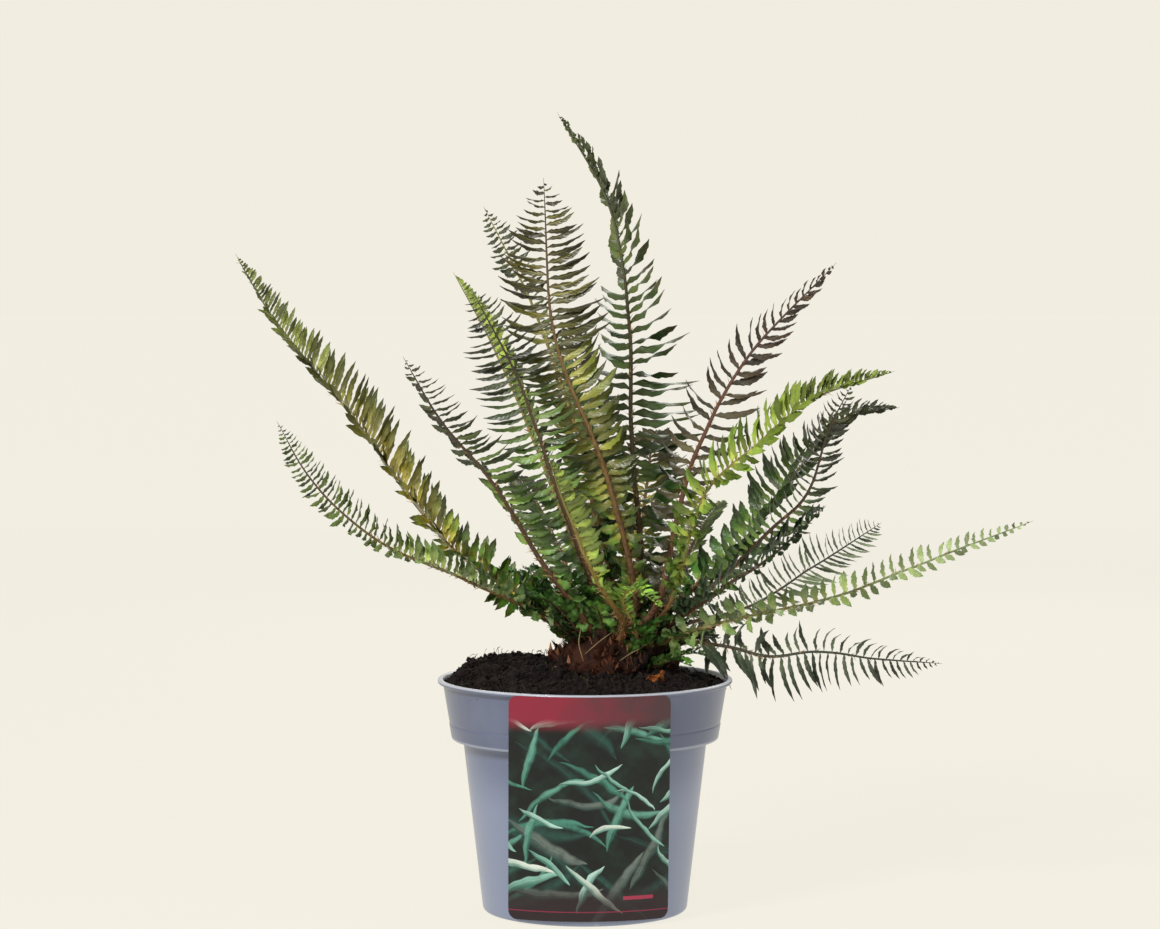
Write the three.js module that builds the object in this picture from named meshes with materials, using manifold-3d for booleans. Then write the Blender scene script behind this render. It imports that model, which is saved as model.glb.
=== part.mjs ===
// Potted western sword fern, Polystichum munitum. Millimetres, +Z up.
// The origin is the centre of the flat underside of the pot.
// The photograph looks along +Y, so -Y is the front, where the card is.
import * as THREE from 'three';
import { mergeVertices } from 'three/addons/utils/BufferGeometryUtils.js';
import Module from 'manifold-3d';

const wasm = await Module();
wasm.setup();

// Driving dimensions
const GAP = 0.4;

const POT = {
  lipRadius: 95,
  height: 150,
  wall: 1.3,
  lipDrop: 2.5,
  lipSlope: 0.5,
  mouthRadius: 91.8,
  throatRadius: 90,
  throatDrop: 4,
  collarTop: 91.5,
  collarFoot: 86,
  stepHeight: 111.5,
  ledgeTop: 1,
  ledgeFoot: 0.6,
  bodyTop: 78.5,
  stepRise: 2,
  footRadius: 66,
  footBevel: 1.5,
  ringInner: 58,
  channelOuter: 56,
  channelInner: 42,
  discRadius: 40,
  channelRise: 3,
  floorEase: 0.75,
  sides: 36,
};
const DRAIN = { count: 8, radius: 4, depth: 20, sides: 8, atRadius: 49 };

const CARD = {
  flatWidth: 105,
  foot: 3.8,
  top: 149,
  thickness: 0.8,
  bend: 100,
  footFace: 67.3,
  topFace: 95.8,
  corner: 6,
  turnedBy: 2,
};

const SOIL = {
  floor: POT.channelRise + POT.wall + GAP,
  edgeLevel: 145,
  edgeDrop: 3,
  edgeGap: 0.95,
  brim: 90,
  crumb: 1.1,
  sides: 32,
  topRings: [0.93, 0.82, 0.68, 0.52, 0.34, 0.16, 0],
  heaps: [
    { x: 18, y: 4, height: 13, spread: 38 },
    { x: -60, y: 16, height: 14, spread: 31 },
  ],
};

const CROWN = {
  centre: new THREE.Vector3(18, 0, 160),
  radii: new THREE.Vector3(41, 33, 32),
  around: 16,
  rows: 10,
  ripple: 0.05,
  rootDepth: 0.68,
};
const STUB = {
  count: 10,
  sides: 5,
  length: 24,
  footRadius: 4.6,
  endRadius: 2.4,
  heights: [0.15, 0.8],
  lengths: [0.75, 1.1],
  scatter: 0.6,
  rise: 0.8,
  footDepth: 0.92,
  seed: 41,
};

const STALK = {
  footWidth: 3.4,
  tipWidth: 1.3,
  depthShare: 0.8,
  bareRings: 4,
  lastRing: 0.985,
  faceTurn: 3,
};
const LEAFLET = {
  pitch: 13.4,
  thickness: 0.75,
  widest: 8.2,
  elbow: 0.42,
  tipBend: 0.12,
  tipDroop: 0.06,
  footSize: 0.55,
  fullSizeAt: 0.3,
  roundness: 0.7,
  tipSweep: 12,
  leastWidth: 0.35,
  stoutest: 0.6,
  lengths: [0.92, 1.08],
  lifts: [-6, 6],
  twists: [-8, 8],
  seed: 97,
};
const CLEAR = {
  other: 0.45,
  own: 0.25,
  lifts: [0, 12, -12, 24, -24, 36, -36, 50, -50],
  lengths: [1, 0.85, 0.7, 0.55, 0.4],
  inset: 0.16,
};

const FINISH = {
  pot: { color: 0x7d8299, roughness: 0.4 },
  card: { color: 0x1d3a36, roughness: 0.35 },
  soil: { color: 0x1c1612, roughness: 0.95 },
  crown: { color: 0x4a2f1e, roughness: 0.85 },
  olive: { color: 0x59702c, roughness: 0.5 },
  bright: { color: 0x7f9c34, roughness: 0.5 },
  deep: { color: 0x2f4a24, roughness: 0.5 },
  dusky: { color: 0x4a4a2c, roughness: 0.5 },
  grey: { color: 0x47584a, roughness: 0.5 },
};

// Fronds, from the stalk's foot on the crown to the tip of the blade.
// path: points that the stalk runs through. face and tipFace: the way the upper side looks.
// leaf: longest leaflet. bare: share of the stalk with no leaflets.
// taper: how late the leaflets shorten towards the tip.
// lift, sweep, twist: degrees that leaflets rise, lean to the tip and turn about their own length.
const FRONDS = [
  { name: 'frond_left_high', tone: 'olive', leaf: 27, bare: 0.1, taper: 3, lift: 46, sweep: 28, twist: 0,
    path: [[-15, -8, 189], [-81, -12, 231], [-149, -10, 319], [-203, 2, 386], [-225, 10, 423]],
    face: [1, -0.1, 1], tipFace: [1, -0.1, 0.6] },
  { name: 'frond_left_low', tone: 'olive', leaf: 20, bare: 0.12, taper: 5, lift: 36, sweep: 20, twist: 10,
    path: [[-15, -18, 186], [-77, -45, 218], [-131, -62, 244], [-170, -74, 282], [-191, -80, 319]],
    face: [0.4, -0.2, 1], tipFace: [0.3, -1, 0.3] },
  { name: 'frond_left_mid', tone: 'deep', leaf: 26, bare: 0.14, taper: 6, lift: 12, sweep: 16, twist: 35,
    path: [[0, -25, 189], [-31, -52, 235], [-59, -80, 283], [-89, -100, 321], [-111, -115, 360]],
    face: [0.5, 0.7, 0.5], tipFace: [0.1, 0.9, 0.4] },
  { name: 'frond_slim_light', tone: 'bright', leaf: 15, bare: 0.12, taper: 5, lift: 36, sweep: 34, twist: 0,
    path: [[7, 25, 198], [-26, 45, 281], [-58, 60, 357], [-87, 70, 411]],
    face: [1, -0.2, 0.4], tipFace: [1, 0.1, 0.4] },
  { name: 'frond_mid_comb', tone: 'deep', leaf: 25, bare: 0.14, taper: 8, lift: 8, sweep: 14, twist: 50,
    path: [[12, -12, 192], [-18, -35, 273], [-42, -50, 344], [-71, -62, 401]],
    face: [0.1, 1, 0.2], tipFace: [0, 1, 0.2] },
  { name: 'frond_centre_left', tone: 'bright', leaf: 24, bare: 0.12, taper: 7, lift: 30, sweep: 26, twist: 15,
    path: [[20, 18, 193], [-5, 35, 307], [-36, 40, 393], [-66, 40, 454]],
    face: [1, -0.3, 0.2], tipFace: [0, 1, 0.2] },
  { name: 'frond_centre', tone: 'olive', leaf: 33, bare: 0.13, taper: 9, lift: 12, sweep: 16, twist: 30,
    path: [[32, 0, 197], [12, -25, 287], [-19, -45, 370], [-26, -55, 470]],
    face: [0, 1, 0.1], tipFace: [0, 1, 0.2] },
  { name: 'frond_tall', tone: 'deep', leaf: 38, bare: 0.13, taper: 3, lift: 10, sweep: 14, twist: 35,
    path: [[36, 22, 196], [30, 15, 309], [28, 15, 387], [15, 28, 456], [-18, 45, 515]],
    face: [0.2, 0.9, 0], tipFace: [1, 0, 0.4] },
  { name: 'frond_right_brown', tone: 'dusky', leaf: 30, bare: 0.14, taper: 4, lift: 10, sweep: 12, twist: 45,
    path: [[45, -15, 196], [57, -28, 248], [69, -38, 294], [100, -50, 355], [157, -55, 417]],
    face: [-0.2, 1, 0.2], tipFace: [-0.5, 0.8, 0.4] },
  { name: 'frond_right_light', tone: 'bright', leaf: 24, bare: 0.12, taper: 4, lift: 44, sweep: 26, twist: 0,
    path: [[53, -35, 200], [76, -72, 276], [106, -88, 305], [137, -98, 332], [189, -110, 351]],
    face: [-1, 0.3, 0.5], tipFace: [-0.4, 0.2, 1] },
  { name: 'frond_right_dark', tone: 'deep', leaf: 26, bare: 0.12, taper: 4, lift: 20, sweep: 18, twist: 10,
    path: [[62, 20, 198], [105, 42, 236], [146, 62, 287], [175, 75, 314], [210, 85, 321]],
    face: [-0.6, -0.4, 0.8], tipFace: [-0.3, -0.5, 1] },
  { name: 'frond_right_inner', tone: 'deep', leaf: 19, bare: 0.15, taper: 5, lift: 14, sweep: 16, twist: 30,
    path: [[68, -4, 197], [112, -28, 242], [140, -40, 271], [153, -48, 312], [167, -55, 341]],
    face: [-0.4, 0.8, 0.4], tipFace: [-0.4, 0.9, 0.3] },
  { name: 'frond_right_low', tone: 'deep', leaf: 25, bare: 0.16, taper: 6, lift: 20, sweep: 18, twist: 15,
    path: [[61, -20, 191], [90, -55, 215], [118, -80, 237], [148, -100, 268]],
    face: [-0.3, 0.2, 1], tipFace: [-0.4, 0, 1] },
  { name: 'frond_right_pale', tone: 'grey', leaf: 20, bare: 0.14, taper: 6, lift: 14, sweep: 18, twist: 20,
    path: [[68, 20, 183], [111, 60, 191], [155, 95, 214], [202, 125, 241]],
    face: [0, -0.8, 0.8], tipFace: [0.1, -0.9, 0.6] },
  { name: 'frond_right_long', tone: 'bright', leaf: 13, bare: 0.16, taper: 3, lift: 16, sweep: 22, twist: 10,
    path: [[59, -28, 179], [89, -36, 190], [153, -44, 205], [233, -48, 236], [282, -50, 255]],
    face: [0, -0.6, 1], tipFace: [-0.1, -0.9, 0.7] },
  { name: 'frond_right_droop', tone: 'grey', leaf: 32, bare: 0.26, taper: 4, lift: 8, sweep: -8, twist: 25,
    path: [[64, 8, 172], [89, 26, 168], [122, 42, 159], [154, 52, 161], [191, 57, 156], [237, 60, 152]],
    face: [0.2, -0.9, 0.4], tipFace: [0, -1, 0.2] },
  { name: 'frond_front_light', tone: 'bright', leaf: 20, bare: 0.2, taper: 5, lift: 40, sweep: 24, twist: 0,
    path: [[25, -35, 187], [7, -72, 220], [-12, -112, 268], [-22, -138, 299]],
    face: [0.8, 0.4, 0.6], tipFace: [0.9, 0.2, 0.5] },
  { name: 'frond_front_young', tone: 'bright', leaf: 12, bare: 0.3, taper: 5, lift: 26, sweep: 20, twist: 0,
    path: [[33, -38, 181], [24, -62, 205], [31, -86, 215], [47, -108, 206]],
    face: [0, -0.4, 1], tipFace: [0.1, -0.3, 1] },
  { name: 'frond_back_left', tone: 'deep', leaf: 25, bare: 0.13, taper: 6, lift: 18, sweep: 18, twist: 10,
    path: [[0, 20, 186], [-17, 90, 225], [-34, 150, 255], [-49, 205, 269]],
    face: [0.2, -0.5, 1], tipFace: [0.2, -0.2, 1] },
  { name: 'frond_back_high', tone: 'olive', leaf: 27, bare: 0.13, taper: 6, lift: 18, sweep: 18, twist: 10,
    path: [[14, 36, 192], [3, 110, 271], [-5, 165, 337], [-7, 215, 377]],
    face: [0, -1, 0.8], tipFace: [0, -0.6, 1] },
  { name: 'frond_back_mid', tone: 'olive', leaf: 25, bare: 0.13, taper: 6, lift: 18, sweep: 18, twist: 10,
    path: [[30, 38, 188], [39, 110, 244], [46, 170, 288], [52, 225, 299]],
    face: [-0.1, -0.6, 1], tipFace: [0, -0.3, 1] },
  { name: 'frond_back_right', tone: 'deep', leaf: 24, bare: 0.13, taper: 6, lift: 18, sweep: 18, twist: 10,
    path: [[50, 30, 188], [68, 100, 218], [84, 160, 240], [98, 215, 250]],
    face: [-0.2, -0.4, 1], tipFace: [-0.2, -0.2, 1] },
];

// Helpers
const vec = (list) => new THREE.Vector3(...list);
const turn = THREE.MathUtils.degToRad;
const lerp = THREE.MathUtils.lerp;

// Draws numbers from 0 to 1, the same ones for the same seed.
function drawer(seed) {
  const factor = 16807;
  const modulus = 2147483647;
  let state = (seed * factor * factor) % modulus;
  return () => {
    state = (state * factor) % modulus;
    return state / modulus;
  };
}

// A closed geometry as a solid, with its doubled vertices merged and slivers on an axis dropped.
function solidOf(geometry) {
  const bare = geometry.clone();
  bare.deleteAttribute('normal');
  bare.deleteAttribute('uv');
  const merged = mergeVertices(bare, 1e-4);
  const corners = merged.index.array;
  const triVerts = [];
  for (let i = 0; i < corners.length; i += 3) {
    const [a, b, c] = [corners[i], corners[i + 1], corners[i + 2]];
    if (a !== b && b !== c && c !== a) triVerts.push(a, b, c);
  }
  return new wasm.Manifold(new wasm.Mesh({
    numProp: 3,
    vertProperties: new Float32Array(merged.attributes.position.array),
    triVerts: new Uint32Array(triVerts),
  }));
}

function geometryOf(solid) {
  const mesh = solid.getMesh();
  const geometry = new THREE.BufferGeometry();
  geometry.setAttribute('position', new THREE.BufferAttribute(mesh.vertProperties, 3));
  geometry.setIndex(new THREE.BufferAttribute(mesh.triVerts, 1));
  return geometry;
}

// Moves each vertex of a geometry by a function of its place.
function reshape(geometry, move) {
  const places = geometry.attributes.position;
  const place = new THREE.Vector3();
  for (let i = 0; i < places.count; i++) {
    move(place.fromBufferAttribute(places, i));
    places.setXYZ(i, place.x, place.y, place.z);
  }
  return geometry;
}

// A profile of [radius, height] points turned round the Z axis.
function turned(profile, sides) {
  const points = profile.map(([radius, height]) => new THREE.Vector2(radius, height));
  return new THREE.LatheGeometry(points, sides).rotateX(Math.PI / 2);
}

// Pot: its outer wall from the centre of the underside up, then its inner wall back down.
function potProfile() {
  const p = POT;
  const wall = p.wall;
  const lipFoot = p.height - p.lipDrop;
  return [
    [0, 0], [p.discRadius, 0],
    [p.channelInner, p.channelRise], [p.channelOuter, p.channelRise],
    [p.ringInner, 0], [p.footRadius - p.footBevel, 0], [p.footRadius, p.footBevel],
    [p.bodyTop, p.stepHeight - p.stepRise], [p.collarFoot, p.stepHeight],
    [p.collarTop, lipFoot - p.lipSlope], [p.lipRadius, lipFoot],
    [p.lipRadius - p.lipSlope, p.height], [p.mouthRadius, p.height],
    [p.throatRadius, p.height - p.throatDrop], [p.collarFoot - wall, p.stepHeight + p.ledgeTop],
    [p.bodyTop - wall, p.stepHeight - p.ledgeFoot], [p.footRadius - wall, p.channelRise + wall],
    [p.channelInner + p.floorEase, p.channelRise + wall], [p.discRadius - p.floorEase, wall],
    [0, wall],
  ];
}

function pot() {
  let solid = solidOf(turned(potProfile(), POT.sides));
  const drill = new THREE.CylinderGeometry(DRAIN.radius, DRAIN.radius, DRAIN.depth, DRAIN.sides);
  drill.rotateX(Math.PI / 2);
  for (let i = 0; i < DRAIN.count; i++) {
    const angle = (i + 0.5) * 2 * Math.PI / DRAIN.count;
    const hole = drill.clone();
    hole.translate(DRAIN.atRadius * Math.cos(angle), DRAIN.atRadius * Math.sin(angle), 0);
    solid = solid.subtract(solidOf(hole));
  }
  return solid;
}

// Card: a thin sheet bent round an upright axis, leaning from the foot of the pot out to the lip.
function card() {
  const c = CARD;
  const half = c.flatWidth / 2 / c.bend;
  const middle = -Math.PI / 2;
  const strip = new THREE.Shape();
  strip.absarc(0, 0, c.bend + c.thickness, middle - half, middle + half, false);
  strip.absarc(0, 0, c.bend, middle + half, middle - half, true);
  const height = c.top - c.foot;
  const sheet = new THREE.ExtrudeGeometry(strip, { depth: height, bevelEnabled: false, curveSegments: 10 });
  const lean = (c.topFace - c.footFace) / height;
  reshape(sheet, (place) => {
    place.y += c.bend - c.footFace - lean * place.z;
    place.z += c.foot;
  });

  const reach = c.bend * Math.sin(half);
  const outline = new THREE.Shape();
  const [left, right, low, high] = [-reach, reach, c.foot, c.top];
  outline.absarc(right - c.corner, low + c.corner, c.corner, -Math.PI / 2, 0, false);
  outline.absarc(right - c.corner, high - c.corner, c.corner, 0, Math.PI / 2, false);
  outline.absarc(left + c.corner, high - c.corner, c.corner, Math.PI / 2, Math.PI, false);
  outline.absarc(left + c.corner, low + c.corner, c.corner, Math.PI, 1.5 * Math.PI, false);
  const cutter = new THREE.ExtrudeGeometry(outline, { depth: 120, bevelEnabled: false, curveSegments: 4 });
  cutter.rotateX(Math.PI / 2);
  const about = turn(c.turnedBy);
  return solidOf(sheet.rotateZ(about)).intersect(solidOf(cutter.rotateZ(about)));
}

// Crown: a rippled rhizome with old stalk stubs on its upper half.
function crownAt(direction, share) {
  return direction.clone().multiply(CROWN.radii).multiplyScalar(share).add(CROWN.centre);
}

function crownBall(scale) {
  const ball = new THREE.SphereGeometry(1, CROWN.around, CROWN.rows).rotateX(Math.PI / 2);
  return reshape(ball, (place) => {
    const around = Math.atan2(place.y, place.x);
    const ripple = 1 + CROWN.ripple * Math.sin(5 * around + 4 * place.z) * Math.cos(2 * place.z);
    place.copy(crownAt(place, ripple * scale));
  });
}

function crown(stalks) {
  let solid = solidOf(crownBall(1));
  const draw = drawer(STUB.seed);
  for (let i = 0; i < STUB.count; i++) {
    const around = (i + draw() * STUB.scatter) * 2 * Math.PI / STUB.count;
    const height = lerp(...STUB.heights, draw());
    const flat = Math.sqrt(1 - height * height);
    const way = new THREE.Vector3(flat * Math.cos(around), flat * Math.sin(around), height);
    const length = STUB.length * lerp(...STUB.lengths, draw());
    const stub = new THREE.CylinderGeometry(STUB.endRadius, STUB.footRadius, length, STUB.sides);
    const lean = way.clone().setZ(way.z + STUB.rise).normalize();
    stub.applyQuaternion(new THREE.Quaternion().setFromUnitVectors(new THREE.Vector3(0, 1, 0), lean));
    const place = crownAt(way, STUB.footDepth);
    stub.translate(place.x, place.y, place.z);
    solid = solid.add(solidOf(stub));
  }
  for (const stalk of stalks) solid = solid.subtract(stalk.socket);
  const pieces = solid.decompose().sort((a, b) => b.volume() - a.volume());
  return pieces[0];
}

// Soil: fills the pot and is heaped round the crown and on the left.
function soilTop(x, y) {
  const brim = 1 - (Math.hypot(x, y) / SOIL.brim) ** 12;
  const crumbs = Math.sin(0.21 * x + 1.3) * Math.cos(0.17 * y) + 0.6 * Math.sin(0.13 * (x + 2 * y));
  let rise = SOIL.crumb * crumbs;
  for (const heap of SOIL.heaps) {
    const away = (x - heap.x) ** 2 + (y - heap.y) ** 2;
    rise += heap.height * Math.exp(-away / (2 * heap.spread ** 2));
  }
  return SOIL.edgeLevel + rise * brim;
}

function soil() {
  const p = POT;
  const inset = p.wall + GAP;
  const edge = (SOIL.edgeLevel - p.stepHeight) / (p.height - p.throatDrop - p.stepHeight);
  const rim = lerp(p.collarFoot - p.wall, p.throatRadius, edge) - SOIL.edgeGap;
  const marker = 200;
  const profile = [
    [0, SOIL.floor], [p.footRadius - inset, SOIL.floor],
    [p.bodyTop - inset, p.stepHeight - p.ledgeFoot + GAP],
    [p.collarFoot - inset, p.stepHeight + p.ledgeTop + GAP],
    [rim, SOIL.edgeLevel - SOIL.edgeDrop],
  ];
  for (const share of SOIL.topRings) profile.push([rim * share, marker]);
  const heap = turned(profile, SOIL.sides);
  reshape(heap, (place) => {
    if (place.z > marker - 1) place.z = soilTop(place.x, place.y);
  });
  return solidOf(heap).subtract(solidOf(crownBall(1 + 0.5 / CROWN.radii.z)));
}

// Frond: a four-sided stalk. Corners run 0 right top, 1 left top, 2 left bottom, 3 right bottom.
const RIGHT = 3;
const LEFT = 1;

class Frond {
  constructor(spec) {
    this.spec = spec;
    const first = vec(spec.path[0]);
    const toward = first.clone().sub(CROWN.centre).divide(CROWN.radii).normalize();
    const root = crownAt(toward, CROWN.rootDepth);
    this.curve = new THREE.CatmullRomCurve3([root, ...spec.path.map(vec)]);
    this.length = this.curve.getLength();
    this.shares = this.ringShares();
    this.rings = this.shares.map((share) => this.ring(share, 0));
    this.stalk = this.tube(0);
    this.socket = this.tube(GAP);
    this.leaflets = [];
  }

  // Rings of the bare stalk, then one at each end of every leaflet's foot.
  ringShares() {
    const { bare } = this.spec;
    const { bareRings, lastRing } = STALK;
    this.count = 2 * Math.round(this.length * (1 - bare) / LEAFLET.pitch);
    const shares = [];
    for (let i = 0; i < bareRings; i++) shares.push(bare * i / bareRings);
    for (let i = 0; i <= this.count; i++) shares.push(lerp(bare, lastRing, i / this.count));
    this.firstLeaflet = bareRings;
    return shares;
  }

  frame(share) {
    const at = this.curve.getPointAt(share);
    const along = this.curve.getTangentAt(share);
    const normal = vec(this.spec.face).lerp(vec(this.spec.tipFace), share ** STALK.faceTurn);
    normal.addScaledVector(along, -normal.dot(along)).normalize();
    const across = new THREE.Vector3().crossVectors(along, normal);
    return { at, along, normal, across };
  }

  ring(share, grow) {
    const { at, along, normal, across } = this.frame(share);
    const width = lerp(STALK.footWidth, STALK.tipWidth, share) / 2 + grow;
    const depth = STALK.depthShare * (width - grow) + grow;
    const start = share === 0 ? at.clone().addScaledVector(along, -grow) : at;
    const corner = (a, n) => start.clone()
      .addScaledVector(across, a * width)
      .addScaledVector(normal, n * depth);
    return [corner(1, 1), corner(-1, 1), corner(-1, -1), corner(1, -1)];
  }

  tube(grow) {
    const shell = new Shell();
    const rings = this.shares.map((share) => shell.loop(this.ring(share, grow)));
    shell.cap(rings[0]);
    for (let i = 1; i < rings.length; i++) {
      for (let side = 0; side < 4; side++) shell.quad(...sideQuad(rings[i - 1], rings[i], side));
    }
    shell.point(rings[rings.length - 1], this.curve.getPointAt(1));
    return shell.solid();
  }

  // Leaflet i on one side: its foot on the stalk, its elbow loop and its tip.
  leaflet(i, side, pose, draw) {
    const { spec } = this;
    const share = (this.shares[i] + this.shares[i + 1]) / 2;
    const blade = (share - spec.bare) / (1 - spec.bare);
    const { along, normal, across } = this.frame(share);
    const grown = lerp(LEAFLET.footSize, 1, Math.min(1, blade / LEAFLET.fullSizeAt));
    const swell = grown * (1 - blade ** spec.taper) ** LEAFLET.roundness;
    const length = spec.leaf * swell * pose.length * draw.length;
    const lift = turn(spec.lift + pose.lift + draw.lift);
    const sweep = turn(spec.sweep + LEAFLET.tipSweep * blade);
    const twist = turn(spec.twist + draw.twist);

    const out = across.clone().multiplyScalar(side === RIGHT ? 1 : -1).multiplyScalar(Math.cos(sweep));
    out.addScaledVector(along, Math.sin(sweep)).multiplyScalar(Math.cos(lift));
    out.addScaledVector(normal, Math.sin(lift));
    const fore = along.clone().addScaledVector(out, -along.dot(out)).normalize();
    const over = normal.clone().addScaledVector(out, -normal.dot(out));
    over.addScaledVector(fore, -over.dot(fore)).normalize();
    const edge = fore.clone().multiplyScalar(Math.cos(twist)).addScaledVector(over, Math.sin(twist));
    const skin = over.clone().multiplyScalar(Math.cos(twist)).addScaledVector(fore, -Math.sin(twist));

    const foot = sideQuad(this.rings[i], this.rings[i + 1], side);
    const base = foot.reduce((sum, place) => sum.add(place), new THREE.Vector3()).multiplyScalar(0.25);
    const full = LEAFLET.widest * lerp(LEAFLET.leastWidth, 1, swell);
    const width = Math.min(full, length * LEAFLET.stoutest) / 2;
    const middle = base.clone().addScaledVector(out, length * LEAFLET.elbow);
    const isFore = [false, true, true, false];
    const isTop = side === LEFT ? [true, true, false, false] : [false, false, true, true];
    const elbow = foot.map((_, k) => middle.clone()
      .addScaledVector(edge, isFore[k] ? width : -width)
      .addScaledVector(skin, (isTop[k] ? 1 : -1) * LEAFLET.thickness / 2));
    const tip = base.clone().addScaledVector(out, length);
    tip.addScaledVector(fore, length * LEAFLET.tipBend).addScaledVector(skin, -length * LEAFLET.tipDroop);
    return { i, side, foot, elbow, tip };
  }

  geometry() {
    const shell = new Shell();
    const rings = this.rings.map((ring) => shell.loop(ring));
    shell.cap(rings[0]);
    for (let i = 0; i + 1 < rings.length; i++) {
      for (let side = 0; side < 4; side++) {
        const foot = sideQuad(rings[i], rings[i + 1], side);
        const leaflet = this.leaflets.find((one) => one.i === i && one.side === side);
        if (leaflet) shell.blade(foot, leaflet);
        else shell.quad(...foot);
      }
    }
    shell.point(rings[rings.length - 1], this.curve.getPointAt(1));
    return shell.geometry();
  }
}

// The outward quad between two rings on one side.
function sideQuad(ring, next, side) {
  const other = (side + 1) % 4;
  return [ring[side], next[side], next[other], ring[other]];
}

// A closed skin of triangles, built up loop by loop.
class Shell {
  places = [];
  corners = [];

  vertex(place) {
    return this.places.push(place) - 1;
  }

  loop(places) {
    return places.map((place) => this.vertex(place));
  }

  quad(a, b, c, d) {
    this.corners.push(a, b, c, a, c, d);
  }

  cap([a, b, c, d]) {
    this.quad(a, b, c, d);
  }

  // Closes the end of a stalk in a point.
  point(ring, place) {
    const tip = this.vertex(place);
    for (let k = 0; k < 4; k++) this.corners.push(ring[k], tip, ring[(k + 1) % 4]);
  }

  // A blade that grows out of a quad. Both its faces are split along the same diagonal.
  blade(foot, { elbow, tip }) {
    const [a, b, c, d] = foot;
    const [e, f, g, h] = this.loop(elbow);
    const end = this.vertex(tip);
    this.quad(a, b, f, e);
    this.quad(b, c, g, f);
    this.corners.push(d, h, g, d, g, c);
    this.quad(d, a, e, h);
    this.corners.push(e, f, end, f, g, end, g, h, end, h, e, end);
  }

  geometry() {
    const geometry = new THREE.BufferGeometry();
    geometry.setFromPoints(this.places);
    geometry.setIndex(this.corners);
    return geometry;
  }

  solid() {
    return solidOf(this.geometry());
  }
}

// A leaflet alone as a small solid, starting a little way off the stalk.
function bladeSolid({ foot, elbow, tip }) {
  const shell = new Shell();
  const start = shell.loop(foot.map((place, k) => place.clone().lerp(elbow[k], CLEAR.inset)));
  const [a, b, c, d] = start;
  shell.quad(d, c, b, a);
  shell.blade(start, { elbow, tip });
  return shell.solid();
}

// What a leaflet has to keep clear of.
class Surroundings {
  things = [];

  add(solid, owner, own) {
    const { min, max } = solid.boundingBox();
    const box = new THREE.Box3(vec(min), vec(max));
    this.things.push({ solid, owner, own, box });
  }

  isClear(solid, owner) {
    const { min, max } = solid.boundingBox();
    const box = new THREE.Box3(vec(min), vec(max)).expandByScalar(CLEAR.other);
    return this.things.every((thing) => {
      if (!thing.box.intersectsBox(box)) return true;
      const same = thing.owner === owner;
      if (same && !thing.own) return true;
      const least = same ? CLEAR.own : CLEAR.other;
      return thing.solid.minGap(solid, least) >= least;
    });
  }
}

// Leaflets stand by turns on the right and the left. Each is set at its own angle,
// or bent or shortened until it clears everything near it.
function growLeaflets(fronds, surroundings) {
  for (const frond of fronds) {
    const draw = drawer(LEAFLET.seed + fronds.indexOf(frond));
    for (let k = 0; k < frond.count; k++) {
      const chance = {
        length: lerp(...LEAFLET.lengths, draw()),
        lift: lerp(...LEAFLET.lifts, draw()),
        twist: lerp(...LEAFLET.twists, draw()),
      };
      growOne(frond, frond.firstLeaflet + k, k % 2 ? LEFT : RIGHT, chance, surroundings);
    }
  }
}

function growOne(frond, i, side, chance, surroundings) {
  for (const length of CLEAR.lengths) {
    for (const lift of CLEAR.lifts) {
      const leaflet = frond.leaflet(i, side, { length, lift }, chance);
      const solid = bladeSolid(leaflet);
      if (surroundings.isClear(solid, frond)) {
        surroundings.add(solid, frond, true);
        frond.leaflets.push(leaflet);
        return;
      }
    }
  }
}

// Assembly
function mesh(name, geometry, finish) {
  const material = new THREE.MeshStandardMaterial({ ...finish, metalness: 0 });
  const piece = new THREE.Mesh(geometry, material);
  piece.name = name;
  return piece;
}

const fronds = FRONDS.map((spec) => new Frond(spec));
const solids = { pot: pot(), card: card(), soil: soil(), crown: crown(fronds) };
const surroundings = new Surroundings();
for (const solid of Object.values(solids)) surroundings.add(solid, null, true);
for (const frond of fronds) surroundings.add(frond.stalk, frond, false);
growLeaflets(fronds, surroundings);

const plant = new THREE.Group();
plant.add(mesh('pot', geometryOf(solids.pot), FINISH.pot));
plant.add(mesh('care_card', geometryOf(solids.card), FINISH.card));
plant.add(mesh('soil', geometryOf(solids.soil), FINISH.soil));
plant.add(mesh('crown', geometryOf(solids.crown), FINISH.crown));
for (const frond of fronds) {
  plant.add(mesh(frond.spec.name, frond.geometry(), FINISH[frond.spec.tone]));
}

export default plant;
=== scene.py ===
"""A potted western sword fern, Polystichum munitum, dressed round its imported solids.

Metres, +Z up. The origin is the centre of the flat underside of the pot, and -Y is the front.
"""
import math
import random

import bpy
import numpy as np
from mathutils import Euler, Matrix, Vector, noise


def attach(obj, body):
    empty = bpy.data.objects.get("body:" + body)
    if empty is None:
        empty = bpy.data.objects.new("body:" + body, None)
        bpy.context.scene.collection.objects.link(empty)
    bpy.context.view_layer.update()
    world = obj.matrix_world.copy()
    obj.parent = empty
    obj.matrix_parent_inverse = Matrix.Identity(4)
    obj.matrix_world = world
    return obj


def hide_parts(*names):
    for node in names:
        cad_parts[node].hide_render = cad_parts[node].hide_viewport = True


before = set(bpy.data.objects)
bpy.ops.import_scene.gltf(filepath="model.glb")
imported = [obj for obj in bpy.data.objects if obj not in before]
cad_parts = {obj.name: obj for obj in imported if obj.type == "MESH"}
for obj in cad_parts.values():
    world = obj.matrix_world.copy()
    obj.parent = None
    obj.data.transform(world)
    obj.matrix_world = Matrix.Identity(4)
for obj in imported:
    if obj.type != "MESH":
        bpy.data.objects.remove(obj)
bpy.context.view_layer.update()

MM = 0.001

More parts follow.
